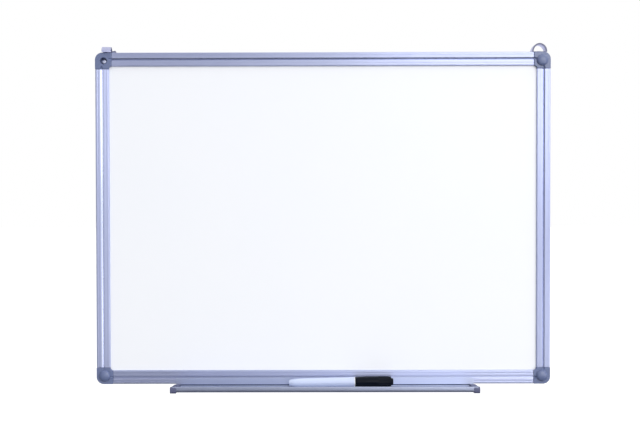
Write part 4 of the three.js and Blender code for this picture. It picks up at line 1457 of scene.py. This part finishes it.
@dataclass
class Studio:
    """The camera, the pale floor, the lamps and the light of the room. Lengths in metres."""

    eye: tuple[float, float, float] = (-0.000656, -1.11997, -0.18803)
    yaw: float = -0.1668
    pitch: float = -0.8319
    roll: float = -0.0990
    lens: float = 46.9
    sensor: float = 36.0
    sight: Flat = (0.05, 50.0)
    floor_z: float = -1.2
    floor_width: float = 60.0
    floor_shade: float = 0.24
    floor_glow: float = 0.87
    ambient_way: tuple[float, float, float] = (0.62, 0.0, 0.78)
    ambient_spread: float = 0.8
    ambient_low: float = 0.16
    ambient_high: float = 1.45
    ambient_colour: str = "fbfcff"
    card_colour: str = "bcc8ff"
    aim: tuple[float, float, float] = (0.0, 0.0, -0.2)

    def camera(self) -> None:
        """Set the camera where the photograph was taken from."""
        yaw, pitch, roll = (math.radians(angle) for angle in (self.yaw, self.pitch, self.roll))
        ahead = Vector((math.sin(yaw) * math.cos(pitch), math.cos(yaw) * math.cos(pitch), math.sin(pitch)))
        level = Vector((math.cos(yaw), -math.sin(yaw), 0))
        above = level.cross(ahead)
        right = level * math.cos(roll) + above * math.sin(roll)
        up = above * math.cos(roll) - level * math.sin(roll)
        data = bpy.data.cameras.new("camera")
        data.sensor_width, data.lens = self.sensor, self.lens
        data.clip_start, data.clip_end = self.sight
        camera = bpy.data.objects.new("camera", data)
        turn = Matrix((right, up, -ahead)).transposed()
        camera.matrix_world = Matrix.Translation(self.eye) @ turn.to_4x4()
        bpy.context.scene.collection.objects.link(camera)
        bpy.context.scene.camera = camera

    def white_rays(self, tree: bpy.types.NodeTree) -> bpy.types.NodeSocket:
        """Tell the rays that see the white background, as 1, from the rest, as 0.

        Args:
            tree: The node tree.

        Returns:
            The socket that gives 1 or 0.
        """
        path = add_node(tree, "ShaderNodeLightPath").outputs
        first = add_node(tree, "ShaderNodeMath", {"operation": "MAXIMUM"},
                         links={0: path["Is Camera Ray"], 1: path["Is Glossy Ray"]}).outputs[0]
        return add_node(tree, "ShaderNodeMath", {"operation": "MAXIMUM"},
                        links={0: first, 1: path["Is Transmission Ray"]}).outputs[0]

    def room(self) -> None:
        """Light the room softly, more from above and from the right, behind a white backdrop."""
        world = bpy.data.worlds.new("room")
        bpy.context.scene.world = world
        world.use_nodes = True
        tree = world.node_tree
        tree.nodes.clear()
        way = add_node(tree, "ShaderNodeTexCoord").outputs["Generated"]
        side = add_node(tree, "ShaderNodeVectorMath", {"operation": "DOT_PRODUCT"},
                        {1: self.ambient_way}, {0: way}).outputs["Value"]
        level = add_node(tree, "ShaderNodeMapRange", {"interpolation_type": "SMOOTHSTEP"},
                         {"From Min": -self.ambient_spread, "From Max": self.ambient_spread,
                          "To Min": self.ambient_low, "To Max": self.ambient_high},
                         {"Value": side}).outputs["Result"]
        soft = add_node(tree, "ShaderNodeBackground", values={"Color": linear(self.ambient_colour)},
                        links={"Strength": level})
        white = add_node(tree, "ShaderNodeBackground", values={"Color": (1, 1, 1, 1), "Strength": 1.0})
        mixed = add_node(tree, "ShaderNodeMixShader", links={
            0: self.white_rays(tree), 1: soft.outputs[0], 2: white.outputs[0]})
        add_node(tree, "ShaderNodeOutputWorld", links={"Surface": mixed.outputs[0]})

    def plane(self, name: str, size: float, height: float) -> tuple[bpy.types.Object, bpy.types.NodeTree]:
        """Add a level plane whose material has no nodes yet.

        Args:
            name: The plane's name, and its material's.
            size: How wide it is.
            height: How high it lies.

        Returns:
            The plane and its material's node tree.
        """
        Bench.clear()
        bpy.ops.mesh.primitive_plane_add(size=size, location=(0, 0, height))
        plane = bpy.context.object
        plane.name = name
        material = bpy.data.materials.new(name)
        material.use_nodes = True
        material.node_tree.nodes.clear()
        plane.data.materials.append(material)
        return plane, material.node_tree

    def floor(self) -> None:
        """Lay a plain pale floor, which keeps the board's shadow."""
        floor, tree = self.plane("floor", self.floor_width, self.floor_z)
        matte = add_node(tree, "ShaderNodeBsdfDiffuse", values={"Color": (*[self.floor_shade] * 3, 1)})
        glow = add_node(tree, "ShaderNodeMath", {"operation": "MULTIPLY"}, {1: self.floor_glow},
                        {0: self.white_rays(tree)})
        pale = add_node(tree, "ShaderNodeEmission", values={"Color": (1, 1, 1, 1)},
                        links={"Strength": glow.outputs[0]})
        both = add_node(tree, "ShaderNodeAddShader", links={0: matte.outputs[0], 1: pale.outputs[0]})
        add_node(tree, "ShaderNodeOutputMaterial", links={"Surface": both.outputs[0]})

    def card(self, name: str, middle: Point, size: Flat, facing: Point, level: float) -> None:
        """Stand a pale blue card in the room, which only the board's gloss can see.

        Args:
            name: The card's name.
            middle: Its place.
            size: Its width and height.
            facing: The way that it faces.
            level: How light it is.
        """
        card, tree = self.plane(name, 1, 0)
        turn = Vector(facing).to_track_quat("Z", "Y").to_matrix().to_4x4()
        card.data.transform(Matrix.Translation(middle) @ turn @ Matrix.Diagonal((*size, 1, 1)))
        pale = add_node(tree, "ShaderNodeEmission",
                        values={"Color": linear(self.card_colour), "Strength": level})
        add_node(tree, "ShaderNodeOutputMaterial", links={"Surface": pale.outputs[0]})
        card.visible_camera = card.visible_diffuse = card.visible_shadow = card.visible_transmission = False

    def softbox(self, name: str, place: Point, size: Flat, radiance: float) -> None:
        """Hang a soft area lamp that points at the board.

        Args:
            name: The lamp's name.
            place: Where it hangs.
            size: Its width and height.
            radiance: How bright its face is, where white paper is 1.
        """
        data = bpy.data.lights.new(name, "AREA")
        data.shape, data.size, data.size_y = "RECTANGLE", *size
        data.energy = radiance * math.pi * size[0] * size[1]
        lamp = bpy.data.objects.new(name, data)
        lamp.location = place
        lamp.rotation_mode = "QUATERNION"
        lamp.rotation_quaternion = (Vector(self.aim) - Vector(place)).to_track_quat("-Z", "Y")
        lamp.visible_camera = False
        bpy.context.scene.collection.objects.link(lamp)

    def build(self) -> None:
        """Set up the camera, room, floor, cards and lamps."""
        self.camera()
        self.room()
        self.floor()
        # The cards darken what the gloss mirrors below and at the left, and keep it light at the right.
        self.card("low_card", (0, -0.4, -0.8), (3.2, 1.5), (0, 0, 1), 0.1)
        self.card("left_card", (-1.5, -0.95, -0.35), (2.7, 1.7), (1, 0, 0), 0.14)
        self.card("right_card", (1.5, -0.05, -0.1), (2.2, 0.9), (-1, 0, 0), 0.8)
        self.card("upper_left_card", (-1.5, -2.4, 1.7), (2.4, 1.8), (0.3, 1, -0.4), 0.3)
        self.softbox("key_softbox", (1.1, -2.7, 0.8), (1.8, 1.8), 2.4)
        self.softbox("side_softbox", (2.1, -1.7, -0.5), (1.3, 1.9), 1.4)


def main() -> None:
    """Build the studio and every piece of the board."""
    logging.basicConfig(level=logging.INFO, format="%(message)s")
    bpy.context.scene.view_settings.view_transform = "Standard"
    Studio().build()
    Panel().dress()
    for assembly in (FrameRails(), MouldedCorners(), StrapHangers(), PenTray(), Marker()):
        LOG.info("Building %s", type(assembly).__name__)
        assembly.build()
    Bench.clear()


if __name__ == "__main__":
    main()
